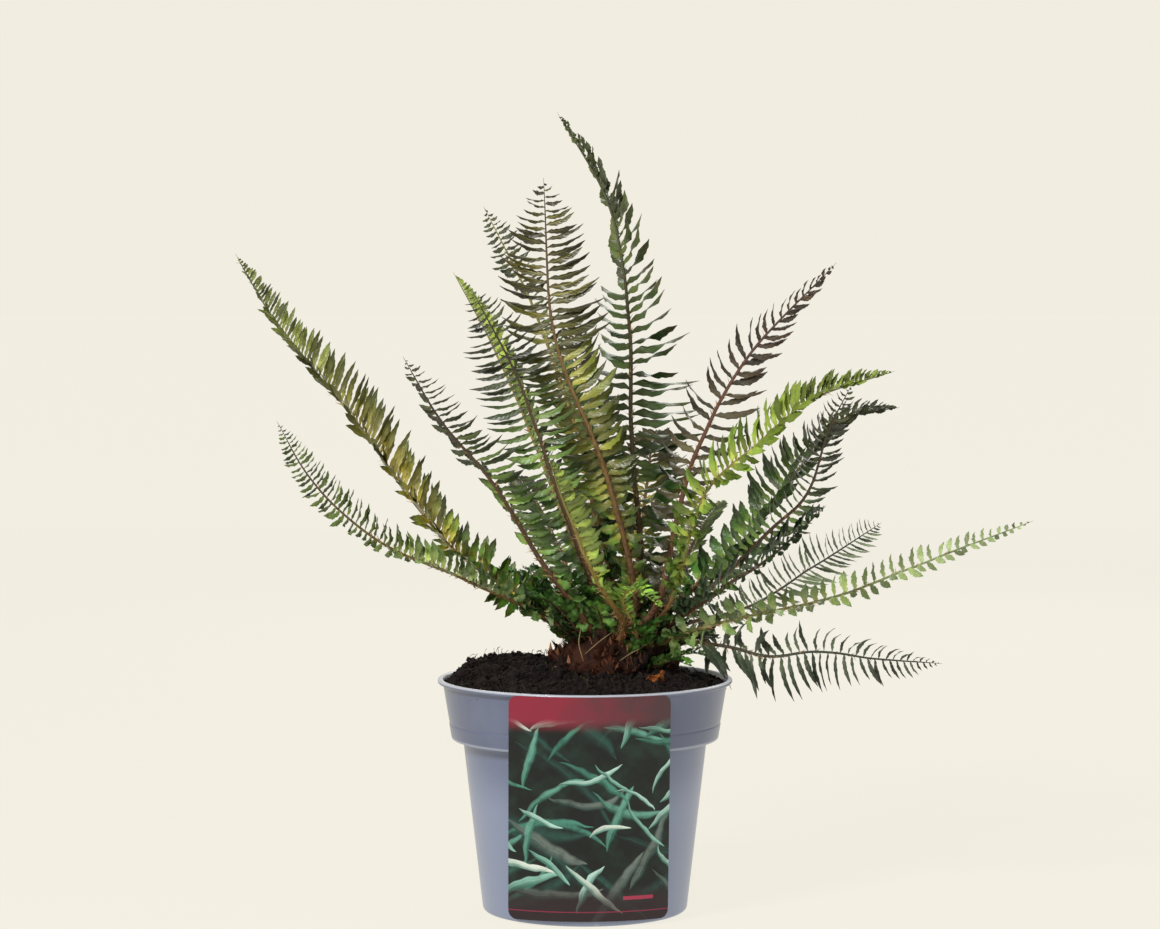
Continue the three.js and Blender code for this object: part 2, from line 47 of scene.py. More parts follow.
# Driving dimensions, the same as the solids have, and how finely each mesh is divided and rounded
POT = {
    "height": 150 * MM, "wall": 1.3 * MM, "lip_radius": 95 * MM, "lip_drop": 2.5 * MM,
    "mouth_radius": 91.8 * MM, "throat_radius": 90 * MM, "throat_drop": 4 * MM,
    "collar_top": 91.5 * MM, "collar_foot": 86 * MM, "step_height": 111.5 * MM, "step_rise": 2 * MM,
    "body_top": 78.5 * MM, "foot_radius": 66 * MM, "foot_bevel": 1.5 * MM,
    "ring_inner": 58 * MM, "channel_outer": 56 * MM, "channel_inner": 42 * MM,
    "disc_radius": 40 * MM, "channel_rise": 3 * MM,
    "line_height": 122 * MM, "line_size": 0.5 * MM, "rounding": 0.9 * MM, "sides": 160,
}
DRAIN = {"count": 8, "radius": 4 * MM, "at_radius": 49 * MM, "depth": 9 * MM, "sides": 20}
CARD = {
    "width": 105 * MM, "foot": 3.8 * MM, "top": 149 * MM, "thickness": 0.5 * MM, "clearance": 0.15 * MM,
    "bend": 100 * MM, "foot_face": 67.3 * MM, "top_face": 95.8 * MM, "corner": 6 * MM, "turned_by": 2,
    "columns": 56, "rows": 60,
}
# The print is laid out in tenths of a metre. Each layer lies over the last, with sharper margins.
PRINT = {
    "seed": 21, "size": (1.05, 1.45),
    "layers": [
        {"leaves": 12, "lengths": (0.6, 1.0), "angles": (-50, -10), "margin": 0.0, "cover": 0.8,
         "tints": [("#10231e", "#28524a"), ("#122824", "#336456")]},
        {"leaves": 22, "lengths": (0.36, 0.66), "angles": (-60, 10), "margin": 0.35, "cover": 0.95,
         "tints": [("#1b463b", "#4c8c79"), ("#22574a", "#6aa592"), ("#26403a", "#6f7a73")]},
        {"leaves": 20, "lengths": (0.26, 0.5), "angles": (-55, 20), "margin": 0.7, "cover": 1.0,
         "tints": [("#376a5c", "#b4d8cb"), ("#5a887a", "#dde6da"), ("#336656", "#8abbab")]},
    ],
}
SOIL = {
    "floor": 4.8 * MM, "edge_level": 145 * MM, "brim": 90 * MM, "edge_radius": 88.8 * MM,
    "heaps": [(18 * MM, 4 * MM, 13 * MM, 38 * MM), (-60 * MM, 16 * MM, 14 * MM, 31 * MM)],
    "lump": 4 * MM, "lump_scale": 100, "grit": 1.5 * MM, "grit_scale": 260, "rings": 84, "sides": 200,
    "clear_of_rim": 79 * MM, "round_crown": 46 * MM, "seed": 8,
}
# What lies on the soil: its shape, skin and place, how many a square metre, and sizes in millimetres
STREWN = [
    ("lump", "crumb", "top", 1.5e5, (0.5, 0.5, 0.4), (3, 3, 2.4)),
    ("lump", "crumb", "inner", 9e3, (2, 2, 1.5), (5.5, 5.5, 4)),
    ("thread", "fibre", "inner", 2.2e4, (2, 2, 2), (8, 8, 8)),
    ("lump", "litter", "crown", 2.2e4, (0.8, 0.6, 0.3), (3.8, 1.8, 1.2)),
]
CROWN = {
    "centre": (18 * MM, 0, 160 * MM), "radii": (41 * MM, 33 * MM, 32 * MM), "root_depth": 0.68,
    "core": 0.84, "grain": 1.1 * MM, "scales": 1.7e5, "scale_length": 4.4 * MM, "seed": 3,
}
STUBS = {"count": 80, "seed": 4, "tilts": (-4, 70), "reach": (0.9, 1.05), "widths": (5, 9), "rise": 6}
STALK = {
    "foot": 5.6 * MM, "tip": 0.9 * MM, "rings": 64, "least_rings": 12, "sides": 8,
    "full_length": 150 * MM, "chaff": 3.2e5, "chaff_length": 3.6 * MM, "wander": 0.7 * MM,
    "wander_seed": 7,
}
LEAFLET = {
    "foot_crowding": 1.4, "tip_crowding": 0.6, "rings": 13, "thickness": 0.5 * MM,
    "foot_breadth": 1.5, "roundness": 0.7, "tip_sweep": 12,
}
# Short sprays in groups round the crown, from one angle to another. They share one habit.
YOUNG = {
    "seed": 12, "looks": ("young", "young", "shade", "spring"),
    "habit": dict(
        tone="deep", bare=0.12, pitch=4.6, taper=4, lift=20, sweep=12, twist=5, tip_twist=5, waist=20,
        breadth=2.1, foot=0.7),
    "groups": [
        {"count": 18, "from": -206, "to": -130, "tilts": (34, 64), "lengths": (32, 60), "leaves": (9, 14)},
        {"count": 18, "from": -190, "to": -72, "tilts": (42, 64), "lengths": (15, 34), "leaves": (8, 12)},
        {"count": 20, "from": -72, "to": 40, "tilts": (-2, 58), "lengths": (15, 32), "leaves": (8, 12)},
        {"count": 14, "from": 40, "to": 165, "tilts": (8, 60), "lengths": (15, 34), "leaves": (8, 12)},
    ],
}
STRAW_WIDTH = 0.65 * MM
STRAWS = [
    [(-2, -29, 187), (-4, -31, 176), (-1, -32, 164)],
    [(0, -33, 169), (9, -35, 177), (19, -32, 184)],
    [(22, -36, 165), (30, -34, 170), (38, -29, 173)],
]
DRY_LEAF = {
    "at": (47, -37, 153), "size": (12, 10), "turned": (58, -24, -30), "ragged": 0.5, "curl": 4.4,
    "waves": 3.4, "droop": 2.4, "thickness": 0.5 * MM, "cells": 18, "seed": 5,
}
CAMERA = {"place": (-3.2 * MM, -2.2, 0.412), "pitch": -3.235, "lens": 106.35, "sensor": 36}
# Each light's place, width and height, and power. All point at the middle of the plant.
LIGHTS = {
    "key": ((-1.3, -1.9, 1.9), (0.6, 0.6), 68),
    "fill": ((1.7, -1.5, 0.9), (1.0, 1.4), 15),
    "back": ((0.5, 1.9, 1.3), (1.6, 1.0), 16),
}
MIDDLE = (0, 0, 0.25)

# The usual frond. A frond in the table below says only where it differs from this.
HABIT = dict(
    bare=0.05,      # share of the stalk with no leaflets
    pitch=5,        # spacing of the leaflets on one side, in millimetres
    taper=6,        # how late the leaflets shorten towards the tip
    lift=18,        # degrees that leaflets rise to the frond's upper side; tip_lift near the tip
    sweep=18,       # degrees that leaflets lean to the frond's tip; tip_sweep near the tip
    twist=10,       # degrees that leaflets turn about their own length
    tip_twist=60,   # the same near the frond's tip
    waist=40,       # degrees that one leaflet turns from its foot to its tip
    curl=0.2,       # how far a leaflet bends towards the frond's tip
    sag=0.05,       # how far it bends to the ground
    arch=0.05,      # how far it bends towards the upper side
    breadth=1,      # width of the leaflets against the usual
    foot=0.34,      # length of the lowest leaflets against the longest
    full_at=0.48,   # where leaflets reach their full size
    stalk=1,        # thickness of the stalk's foot against the usual
    face_turn=3)    # how late the upper side turns from face to tip_face
# tone: the frond's own leaf and stalk colours. look: leaf colours other than the tone's own. leaf: the
# longest leaflet.
# path: points that the stalk runs through, from its foot on the crown to the tip of the blade.
# face and tip_face: the way the upper side looks. Lengths are in millimetres.
FRONDS = {
    "left_high": dict(
        tone="olive", look="mustard", leaf=38, pitch=2.9, taper=1.9, lift=28, sweep=46, twist=8,
        tip_sweep=46, tip_twist=16, waist=24, curl=-0.06, breadth=0.8, foot=0.45, full_at=0.55, stalk=0.5,
        path=[(-15, -8, 189), (-81, -12, 231), (-149, -10, 319), (-203, 2, 386), (-225, 10, 423)],
        face=(1, -1, 1), tip_face=(1, -1.1, 0.6)),
    "left_low": dict(
        tone="olive", look="mixed", leaf=18, pitch=3.4, taper=5, lift=40, sweep=20, tip_lift=4,
        tip_sweep=10, tip_twist=46, waist=30, arch=0.1, breadth=1.4, foot=0.8, full_at=0.8, stalk=0.6,
        face_turn=1.2,
        path=[(-15, -18, 186), (-77, -45, 218), (-131, -62, 244), (-170, -74, 282), (-191, -80, 319)],
        face=(0.4, -0.2, 1), tip_face=(0.3, -1, 0.3)),
    "left_mid": dict(
        tone="deep", look="comb", leaf=29, pitch=4.6, taper=4, lift=28, sweep=-16, twist=26, tip_lift=22,
        tip_sweep=-10, tip_twist=62, curl=0.3, breadth=0.95, full_at=0.62, stalk=0.9,
        path=[(0, -25, 189), (-31, -52, 235), (-59, -80, 283), (-89, -100, 321), (-111, -115, 360)],
        face=(0.8, 0.7, 0.3), tip_face=(0.7, 0.8, 0.2)),
    "slim_light": dict(
        tone="bright", look="slim", leaf=17, pitch=3.8, taper=5, lift=30, sweep=20, twist=20, tip_lift=74,
        tip_sweep=56, tip_twist=10, breadth=1.3, stalk=0.7,
        path=[(7, 25, 198), (-26, 45, 281), (-58, 60, 357), (-87, 70, 411)],
        face=(1, -0.2, 0.4), tip_face=(1, 0.1, 0.4)),
    "mid_comb": dict(
        tone="deep", look="comb", leaf=30, bare=0.06, pitch=4.8, taper=5, lift=4, sweep=-12, twist=50,
        tip_sweep=-6, tip_twist=54, waist=24, curl=0.36, breadth=1.05, foot=0.24, full_at=0.66, stalk=0.9,
        path=[(12, -12, 192), (-18, -35, 273), (-42, -50, 344), (-71, -62, 401)],
        face=(0.1, 1, 0.2), tip_face=(0, 1, 0.2)),
    "centre_left": dict(
        tone="bright", look="strip", leaf=25, pitch=4.1, taper=5, lift=40, sweep=4, tip_lift=4,
        tip_sweep=2, tip_twist=40, curl=0.3, arch=0.2, breadth=1.2, foot=0.5,
        path=[(20, 18, 193), (-5, 35, 307), (-36, 40, 393), (-66, 40, 454)],
        face=(1, -0.3, 0.2), tip_face=(0, 1, 0.2)),
    "centre": dict(
        tone="olive", leaf=36, bare=0.06, taper=5, lift=8, sweep=8, twist=34, tip_sweep=4, tip_twist=44,
        waist=46, curl=0.3, breadth=1.1, foot=0.28, full_at=0.58,
        path=[(32, 0, 197), (12, -25, 287), (-19, -45, 370), (-26, -55, 470)],
        face=(0, 1, 0.1), tip_face=(0, 1, 0.2)),
    "tall": dict(
        tone="deep", look="tall", leaf=68, bare=0.06, pitch=5.7, taper=1.02, lift=8, sweep=-2, twist=50,
        tip_lift=22, tip_sweep=72, tip_twist=40, waist=96, curl=0.22, sag=0.12, breadth=1.04, full_at=0.34,
        face_turn=1.5,
        path=[(36, 22, 196), (30, 15, 309), (28, 15, 387), (15, 28, 456), (-18, 45, 515)],
        face=(0.2, 0.9, 0), tip_face=(1, 0, 0.4)),
    "right_brown": dict(
        tone="dusky", leaf=34, bare=0.1, pitch=6.6, taper=2, lift=10, sweep=8, twist=52, tip_sweep=50,
        tip_twist=30, waist=60, curl=0.3, breadth=1.05, stalk=1.1,
        path=[(45, -15, 196), (57, -28, 248), (69, -38, 294), (100, -50, 355), (157, -55, 417)],
        face=(-0.2, 1, 0.2), tip_face=(-0.5, 0.8, 0.4)),
    "right_light": dict(
        tone="bright", look="sun", leaf=28, bare=0.2, pitch=3.3, taper=2.6, lift=26, sweep=30, twist=14,
        tip_lift=34, tip_sweep=56, tip_twist=20, arch=0.1, breadth=1.15, foot=0.45, stalk=0.5,
        path=[(53, -35, 200), (76, -72, 276), (106, -88, 305), (137, -98, 332), (189, -110, 351)],
        face=(-0.5, -0.8, 0.5), tip_face=(-0.3, -0.7, 0.9)),
    "right_dark": dict(
        tone="deep", leaf=34, bare=0.04, pitch=4.4, taper=3, lift=24, sweep=22, twist=20, tip_sweep=44,
        tip_twist=36, breadth=1.2, stalk=0.9,
        path=[(62, 20, 198), (105, 42, 236), (146, 62, 287), (175, 75, 314), (210, 85, 321)],
        face=(-0.6, -0.4, 0.8), tip_face=(-0.3, -0.5, 1)),
    "right_inner": dict(
        tone="deep", leaf=22, pitch=4.5, taper=5, lift=10, sweep=4, twist=44, tip_twist=54, curl=0.3,
        stalk=0.8,
        path=[(68, -4, 197), (112, -28, 242), (140, -40, 271), (153, -48, 312), (167, -55, 341)],
        face=(-0.4, 0.8, 0.4), tip_face=(-0.4, 0.9, 0.3)),
    "right_low": dict(
        tone="deep", look="shade", leaf=20, pitch=4, lift=20, sweep=30, twist=26, tip_twist=40,
        breadth=1.3, foot=0.5, stalk=0.9,
        path=[(61, -20, 191), (90, -55, 215), (118, -80, 237), (148, -100, 268)],
        face=(-0.3, -0.7, 0.9), tip_face=(-0.4, -0.4, 1)),
    "right_pale": dict(
        tone="grey", look="pale", leaf=22, pitch=4.2, lift=14, sweep=8, twist=60, tip_twist=66,
        breadth=0.62, stalk=0.5,
        path=[(68, 20, 183), (111, 60, 191), (155, 95, 214), (202, 125, 241)],
        face=(0, -0.8, 0.8), tip_face=(0.1, -0.9, 0.6)),
    "right_long": dict(
        tone="bright", look="lime", leaf=19, bare=0.08, pitch=5.8, taper=2.4, lift=16, sweep=10,
        tip_sweep=30, tip_twist=20, curl=0.05, breadth=1.35, foot=0.75, stalk=0.5,
        path=[(59, -28, 179), (89, -36, 190), (153, -44, 205), (233, -48, 236), (282, -50, 255)],
        face=(0, -0.6, 1), tip_face=(-0.1, -0.9, 0.7)),
    "right_droop": dict(
        tone="grey", leaf=32, bare=0.16, pitch=4.9, taper=1.3, lift=-2, sweep=-14, twist=40, tip_lift=0,
        tip_sweep=30, tip_twist=44, curl=0.3, sag=0.2, breadth=0.78, foot=0.7, stalk=0.6,
        path=[(64, 8, 172), (89, 26, 168), (122, 42, 159), (154, 52, 161), (191, 57, 156), (237, 60, 152)],
        face=(0.2, -0.8, 0.55), tip_face=(0, -1, 0.3)),
    "front_light": dict(
        tone="bright", leaf=17, bare=0.3, pitch=3.6, taper=4, lift=34, sweep=26, twist=5, tip_twist=20,
        waist=30, arch=0.2, breadth=1.3, foot=0.5,
        path=[(25, -35, 187), (7, -72, 220), (-12, -112, 268), (-22, -138, 299)],
        face=(0.8, 0.4, 0.6), tip_face=(0.9, 0.2, 0.5)),
    "front_young": dict(
        tone="bright", look="fresh", leaf=11, bare=0.2, pitch=3.4, taper=5, lift=26, sweep=20, twist=0,
        tip_twist=0, waist=10, stalk=0.6,
        path=[(33, -38, 181), (24, -62, 205), (31, -86, 215), (47, -108, 206)],
        face=(0, -0.4, 1), tip_face=(0.1, -0.3, 1)),
    "back_left": dict(
        tone="deep", leaf=24,
        path=[(0, 20, 186), (-17, 90, 225), (-34, 150, 255), (-49, 205, 269)],
        face=(0.2, -0.5, 1), tip_face=(0.2, -0.2, 1)),
    "back_high": dict(
        tone="olive", leaf=26,
        path=[(14, 36, 192), (3, 110, 271), (-5, 165, 337), (-7, 215, 377)],
        face=(0, -1, 0.8), tip_face=(0, -0.6, 1)),
    "back_mid": dict(
        tone="olive", leaf=24,
        path=[(30, 38, 188), (39, 110, 244), (46, 170, 288), (52, 225, 299)],
        face=(-0.1, -0.6, 1), tip_face=(0, -0.3, 1)),
    "back_right": dict(
        tone="deep", look="mixed", leaf=14,
        path=[(50, 30, 188), (68, 100, 218), (84, 160, 240), (98, 215, 250)],
        face=(-0.2, -0.4, 1), tip_face=(-0.2, -0.2, 1)),
}

# What every frond hands to the growing tree from its own row
FROND_INPUTS = (
    "Bare", "Taper", "Lift", "Sweep", "Twist", "Tip Lift", "Tip Sweep", "Tip Twist", "Waist", "Curl",
    "Sag", "Arch", "Breadth", "Foot", "Full At")


# Node trees written as Python
def is_vector(value):
    """Tells colours and places from plain numbers. A colour code such as #5a6a2c is a colour."""
    if isinstance(value, Wire):
        return value.socket.type in ("VECTOR", "RGBA")
    return isinstance(value, (str, tuple, Vector))


def by_node(operation, swapped=False):
    """A method of Wire that adds one maths node."""
    def method(self, *others):
        values = (*others, self) if swapped else (self, *others)
        return self.net.maths(operation, *values)
    return method


class Wire:
    """An output socket that Python's operators turn into maths nodes."""

    __add__ = by_node("ADD")
    __radd__ = by_node("ADD", swapped=True)
    __sub__ = by_node("SUBTRACT")
    __rsub__ = by_node("SUBTRACT", swapped=True)
    __mul__ = __rmul__ = by_node("MULTIPLY")
    __truediv__ = by_node("DIVIDE")
    __pow__ = by_node("POWER")
    __mod__ = by_node("MODULO")
    __abs__ = by_node("ABSOLUTE")
    sine = by_node("SINE")
    cosine = by_node("COSINE")
    above = by_node("GREATER_THAN")
    below = by_node("LESS_THAN")
    dot = by_node("DOT_PRODUCT")
    cross = by_node("CROSS_PRODUCT")
    unit = by_node("NORMALIZE")

    def __init__(self, net, socket):
        self.net = net
        self.socket = socket

    def out(self, name):
        """Another output of the same node."""
        return Wire(self.net, self.socket.node.outputs[name])

    def clamped(self):
        return self.net.maths("MINIMUM", self.net.maths("MAXIMUM", self, 0), 1)

    def axis(self, letter):
        return self.net.add("ShaderNodeSeparateXYZ", {}, {"Vector": self}, letter)

    def axes(self):
        return [self.axis(letter) for letter in "XYZ"]

    def smooth(self, low, high):
        """0 below low, 1 above high, and a soft step between them."""
        return self.net.add(
            "ShaderNodeMapRange", {"interpolation_type": "SMOOTHSTEP"},
            {"Value": self, "From Min": low, "From Max": high})

    def pick(self, at_zero, at_one):
        """Mixes two colours or numbers by this wire."""
        kind = "RGBA" if is_vector(at_zero) or is_vector(at_one) else "FLOAT"
        return self.net.add("ShaderNodeMix", {"data_type": kind}, {"Factor": self, "A": at_zero, "B": at_one})


class Net:
    """A node tree under construction."""

    def __init__(self, tree):
        self.tree = tree
        self.source = None
        tree.nodes.clear()

    @staticmethod
    def find(sockets, key):
        if isinstance(key, int):
            return sockets[key]
        return next(s for s in sockets if s.enabled and key in (None, s.name))

    def add(self, kind, settings=None, inputs=None, out=None):
        """A node with its settings and the values or wires of its sockets. Gives one output."""
        node = self.tree.nodes.new(kind)
        for name, value in (settings or {}).items():
            if name == "points":
                self.bend_curve(node, value)
            else:
                setattr(node, name, value)
        for key, value in (inputs or {}).items():
            for one in value if isinstance(value, list) else [value]:
                self.feed(self.find(node.inputs, key), one)
        return Wire(self, self.find(node.outputs, out)) if node.outputs else node

    @staticmethod
    def bend_curve(node, points):
        curve = node.mapping.curves[0]
        while len(curve.points) < len(points):
            curve.points.new(0.5, 0.5)
        for point, place in zip(curve.points, points):
            point.location = place
        node.mapping.update()

    def feed(self, socket, value):
        """Links a wire to a socket, or sets a value on it."""
        if isinstance(value, Wire):
            self.tree.links.new(value.socket, socket)
        elif socket.type == "RGBA":
            socket.default_value = (*colour(value), 1)
        elif socket.type == "VECTOR" and not is_vector(value):
            socket.default_value = (value, value, value)
        else:
            socket.default_value = value

    def maths(self, operation, *values):
        """A Math node, or a Vector Math node where a vector takes part."""
        vectors = [is_vector(value) for value in values]
        if operation == "MULTIPLY" and any(vectors) and not all(vectors):
            vector, factor = sorted(values, key=is_vector, reverse=True)
            return self.add("ShaderNodeVectorMath", {"operation": "SCALE"}, {0: vector, "Scale": factor})
        kind = "ShaderNodeVectorMath" if any(vectors) else "ShaderNodeMath"
        return self.add(kind, {"operation": operation}, dict(enumerate(values)))

    def vector(self, x, y, z):
        return self.add("ShaderNodeCombineXYZ", {}, {"X": x, "Y": y, "Z": z})

    def given(self, name, kind):
        """A named input of the tree."""
        self.tree.interface.new_socket(name, in_out="INPUT", socket_type="NodeSocket" + kind)
        if self.source is None:
            self.source = self.tree.nodes.new("NodeGroupInput")
        return Wire(self, self.source.outputs[name])

    def gives(self, result, kind="Geometry"):
        """Ends the tree with its one output."""
        self.tree.interface.new_socket(kind, in_out="OUTPUT", socket_type="NodeSocket" + kind)
        self.add("NodeGroupOutput", {}, {kind: result})
        return self.tree

    def place(self):
        """Where a point of a geometry is."""
        return self.add("GeometryNodeInputPosition")

    def chance(self, low, high, seed):
        kind = "FLOAT_VECTOR" if is_vector(low) else "FLOAT"
        return self.add(
            "FunctionNodeRandomValue", {"data_type": kind}, {"Min": low, "Max": high, "Seed": seed})

    def named(self, name, kind="FLOAT"):
        return self.add("GeometryNodeInputNamedAttribute", {"data_type": kind}, {"Name": name})

    def keep(self, geometry, name, value, domain="POINT", kind=None):
        """Stores a named attribute on a geometry."""
        kind = kind or ("FLOAT_VECTOR" if is_vector(value) else "FLOAT")
        return self.add(
            "GeometryNodeStoreNamedAttribute", {"data_type": kind, "domain": domain},
            {"Geometry": geometry, "Name": name, "Value": value})

    def noise(self, place, scale, detail=3.0, roughness=0.55):
        return self.add(
            "ShaderNodeTexNoise", {},
            {"Vector": place, "Scale": scale, "Detail": detail, "Roughness": roughness})

    def stray(self, place, scale):
        """A noise that pushes places about, the same to every side."""
        return self.noise(place, scale, 2).out("Color") - (0.5, 0.5, 0.5)


# Meshes
def circle(sides):
    """The cosines and sines of even steps round a full turn."""
    turns = [2 * math.pi * n / sides for n in range(sides)]
    return [(math.cos(turn), math.sin(turn)) for turn in turns]


def mesh_of(name, places, faces):
    mesh = bpy.data.meshes.new(name)
    mesh.from_pydata([tuple(place) for place in places], [], faces)
    mesh.update()
    return mesh


def holder_of(name, mesh):
    holder = bpy.data.objects.new(name, mesh)
    bpy.context.scene.collection.objects.link(holder)
    return holder


def soft_shaded(piece):
    piece.data.polygons.foreach_set("use_smooth", [True] * len(piece.data.polygons))
    return piece


def baked(holder):
    """Turns an object with its modifiers into one with a plain mesh."""
    depsgraph = bpy.context.evaluated_depsgraph_get()
    mesh = bpy.data.meshes.new_from_object(
        holder.evaluated_get(depsgraph), preserve_all_data_layers=True, depsgraph=depsgraph)
    holder.modifiers.clear()
    holder.data = mesh
    return holder


def grown(name, mesh, tree, values=None):
    """The plain mesh that a node tree makes of another mesh. values are the tree's named inputs."""
    holder = holder_of(name, mesh)
    modifier = holder.modifiers.new("grow", "NODES")
    modifier.node_group = tree
    for item in tree.interface.items_tree:
        if item.item_type == "SOCKET" and item.name in (values or {}):
            modifier[item.identifier] = values[item.name]
    return baked(holder)


def joined(name, pieces):
    """Several finished pieces as one object."""
    with bpy.context.temp_override(active_object=pieces[0], selected_editable_objects=pieces):
        bpy.ops.object.join()
    pieces[0].name = name
    return pieces[0]


def lathe(name, profile, sides):
    """A closed profile of (radius, height) points turned round the Z axis. It starts and ends on the axis."""
    places = []
    rings = []
    for radius, height in profile:
        count = sides if radius > 1e-7 else 1
        rings.append(range(len(places), len(places) + count))
        places += [(radius * cosine, radius * sine, height) for cosine, sine in circle(count)]
    faces = []
    for low, high in zip(rings, rings[1:]):
        for k in range(sides):
            a, b = low[k % len(low)], low[(k + 1) % len(low)]
            c, d = high[(k + 1) % len(high)], high[k % len(high)]
            faces.append([v for i, v in enumerate((a, b, c, d)) if v not in (a, b, c, d)[:i]])
    return mesh_of(name, places, faces)


def eased(profile, reach, steps=4):
    """A profile with its corners rounded off over a reach along each side."""
    made = [profile[0]]
    for before, corner, after in zip(profile, profile[1:], profile[2:]):
        b, c, a = (np.array(p) for p in (before, corner, after))
        start = c + (b - c) * min(0.45, reach / np.linalg.norm(b - c))
        end = c + (a - c) * min(0.45, reach / np.linalg.norm(a - c))
        for k in range(steps + 1):
            t = k / steps
            made.append(tuple((1 - t) ** 2 * start + 2 * t * (1 - t) * c + t ** 2 * end))
    return made + [profile[-1]]


def tube_faces(rings, sides, first=0):
    """The faces of a closed tube whose rings of points follow one another."""
    last = first + (rings - 1) * sides
    faces = [
        (ring + n, ring + (n + 1) % sides, ring + sides + (n + 1) % sides, ring + sides + n)
        for ring in range(first, last, sides) for n in range(sides)]
    return [*faces, range(first, first + sides)[::-1], range(last, last + sides)]


def tube_of(name, path, width, material, sides=6):
    """A thin round strand through points, narrowing to both ends."""
    line = Strand([np.array(place) * MM for place in path]).places
    places = []
    last = len(line) - 1
    for k, place in enumerate(line):
        along = Vector(line[min(k + 1, last)] - line[max(k - 1, 0)]).normalized()
        side = along.orthogonal().normalized()
        up = along.cross(side)
        radius = width / 2 * (0.25 + 0.75 * math.sin(math.pi * min(0.9, 0.15 + k / last * 0.8)))
        places += [Vector(place) + (side * cosine + up * sine) * radius for cosine, sine in circle(sides)]
    piece = holder_of(name, mesh_of(name, places, tube_faces(len(line), sides)))
    if material:
        piece.data.materials.append(material)
    return soft_shaded(piece)


def ride_as(piece, slot, *nodes):
    """Puts a finished piece on the plant in place of its solids."""
    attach(piece, "root")
    if nodes:
        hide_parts(*nodes)
    return piece


# Materials
def colour(code):
    """A colour such as #5a6a2c as the linear numbers that shaders use."""
    shares = [int(code[i:i + 2], 16) / 255 for i in (1, 3, 5)]
    return tuple(s / 12.92 if s <= 0.04045 else ((s + 0.055) / 1.055) ** 2.4 for s in shares)


def blank_material(name):
    made = bpy.data.materials.new(name)
    made.use_nodes = True
    return made, Net(made.node_tree)


def surfaced(made, net, sockets):
    shader = net.add("ShaderNodeBsdfPrincipled", {}, sockets, "BSDF")
    net.add("ShaderNodeOutputMaterial", {}, {"Surface": shader})
    return made


def bumped(net, height, distance, strength=1.0):
    return net.add("ShaderNodeBump", {}, {"Height": height, "Distance": distance, "Strength": strength})


def own_place(net):
    return net.add("ShaderNodeTexCoord", {}, {}, "Object")


def read(net, name, out="Fac"):
    return net.add("ShaderNodeAttribute", {"attribute_name": name}, {}, out)


def painted(base, *coats):
    """A colour under further ones, each laid on through its own mask."""
    for mask, coat in coats:
        base = mask.pick(base, coat)
    return base


def moulded_plastic():
    """Slate plastic: darker above the step, painted shade under the collar, painted highlights on step and
    lip, light scuffs.
    """
    made, net = blank_material("moulded_plastic")
    place = own_place(net)
    streaks = net.noise(place * (60, 60, 4), 1.0, 4)
    blotches = net.noise(place, 14, 3)
    grain = net.noise(place, 900, 2)
    height = place.axis("Z")
    step, lip = POT["step_height"], POT["height"]
    # A painted highlight along the step's edge, where it catches the light.
    step_highlight = height.smooth(step - 1 * MM, step - 0.4 * MM) * height.smooth(step + 2 * MM, step + 1 * MM)
    scuffs = (streaks.smooth(0.62, 0.72) * blotches.smooth(0.5, 0.62)) * 0.35
    return surfaced(made, net, {
        "Base Color": painted(
            # The body grows darker towards its top: painted shade under the collar's overhang.
            height.smooth(66 * MM, 104 * MM).pick("#7f89a4", "#666f8a"),
            (height.above(step - 1 * MM), "#545c76"),
            (blotches.smooth(0.42, 0.72) * 0.3, "#7f88a2"),
            (step_highlight * 0.6, "#a3aabd"),
            # A painted highlight along the top of the lip.
            (height.smooth(lip - 1.6 * MM, lip - 0.6 * MM) * 0.75, "#c9ccd6"),
            (scuffs, "#b4b7c6")),
        "Roughness": 0.3 + 0.14 * blotches + 0.2 * scuffs,
        "Specular IOR Level": 0.6,
        "Coat Weight": 0.2,
        "Coat Roughness": 0.12,
        "Normal": bumped(net, grain + 2 * streaks, 0.06 * MM, 0.5),
    })


def printed_sheet():
    """A generic print: a deep red band, greyed towards its right end by a painted sheen, over scattered lance
    leaves on a dark ground.
    """
    made, net = blank_material("printed_sheet")
    uv = net.add("ShaderNodeUVMap", {"uv_map": "print"})
    x, y = (uv.axis(letter) * size for letter, size in zip("XY", PRINT["size"]))
    spot = net.vector(x, y, 0)
    cloud = net.noise(spot, 5, 4)
    bent = spot + net.stray(spot, 4.5) * 0.08
    bent_x, bent_y = bent.axis("X"), bent.axis("Y")
    art = cloud.smooth(0.4, 0.75).pick("#0a0e0d", "#1a2f28")
    draw = random.Random(PRINT["seed"])
    stamp = leaf_stamp()
    for layer in PRINT["layers"]:
        for _ in range(layer["leaves"]):
            settings = printed_leaf(layer, draw) | {"X": bent_x, "Y": bent_y, "Ground": art}
            art = net.add("ShaderNodeGroup", {"node_tree": stamp}, settings)
        art = (net.noise(spot, 16, 3).smooth(0.45, 0.75) * 0.25).pick(art, "#0c1513")
    # The band runs from deep red to grey maroon towards the right: the print's red under a painted sheen.
    band_with_sheen = (x * 0.6 + cloud * 0.5).smooth(0.3, 0.85).pick("#862036", "#4a3034")
    art = painted(
        art,
        (y.smooth(0.26, 0.12) * 0.85, "#2a1c20"),
        (abs(y - 0.15).below(0.012) * abs(x - 0.84).below(0.1) * 0.85, "#a8324e"),
        (abs(y - 0.062).below(0.0035) * 0.8, "#8a2844"),
        ((y + 0.02 * cloud).smooth(1.22, 1.32), band_with_sheen))
    return surfaced(made, net, {
        "Base Color": art,
        "Roughness": 0.3 + 0.1 * cloud,
        "Specular IOR Level": 0.35,
        "Normal": bumped(net, net.noise(spot, 3, 2), 0.3 * MM, 0.4),
    })


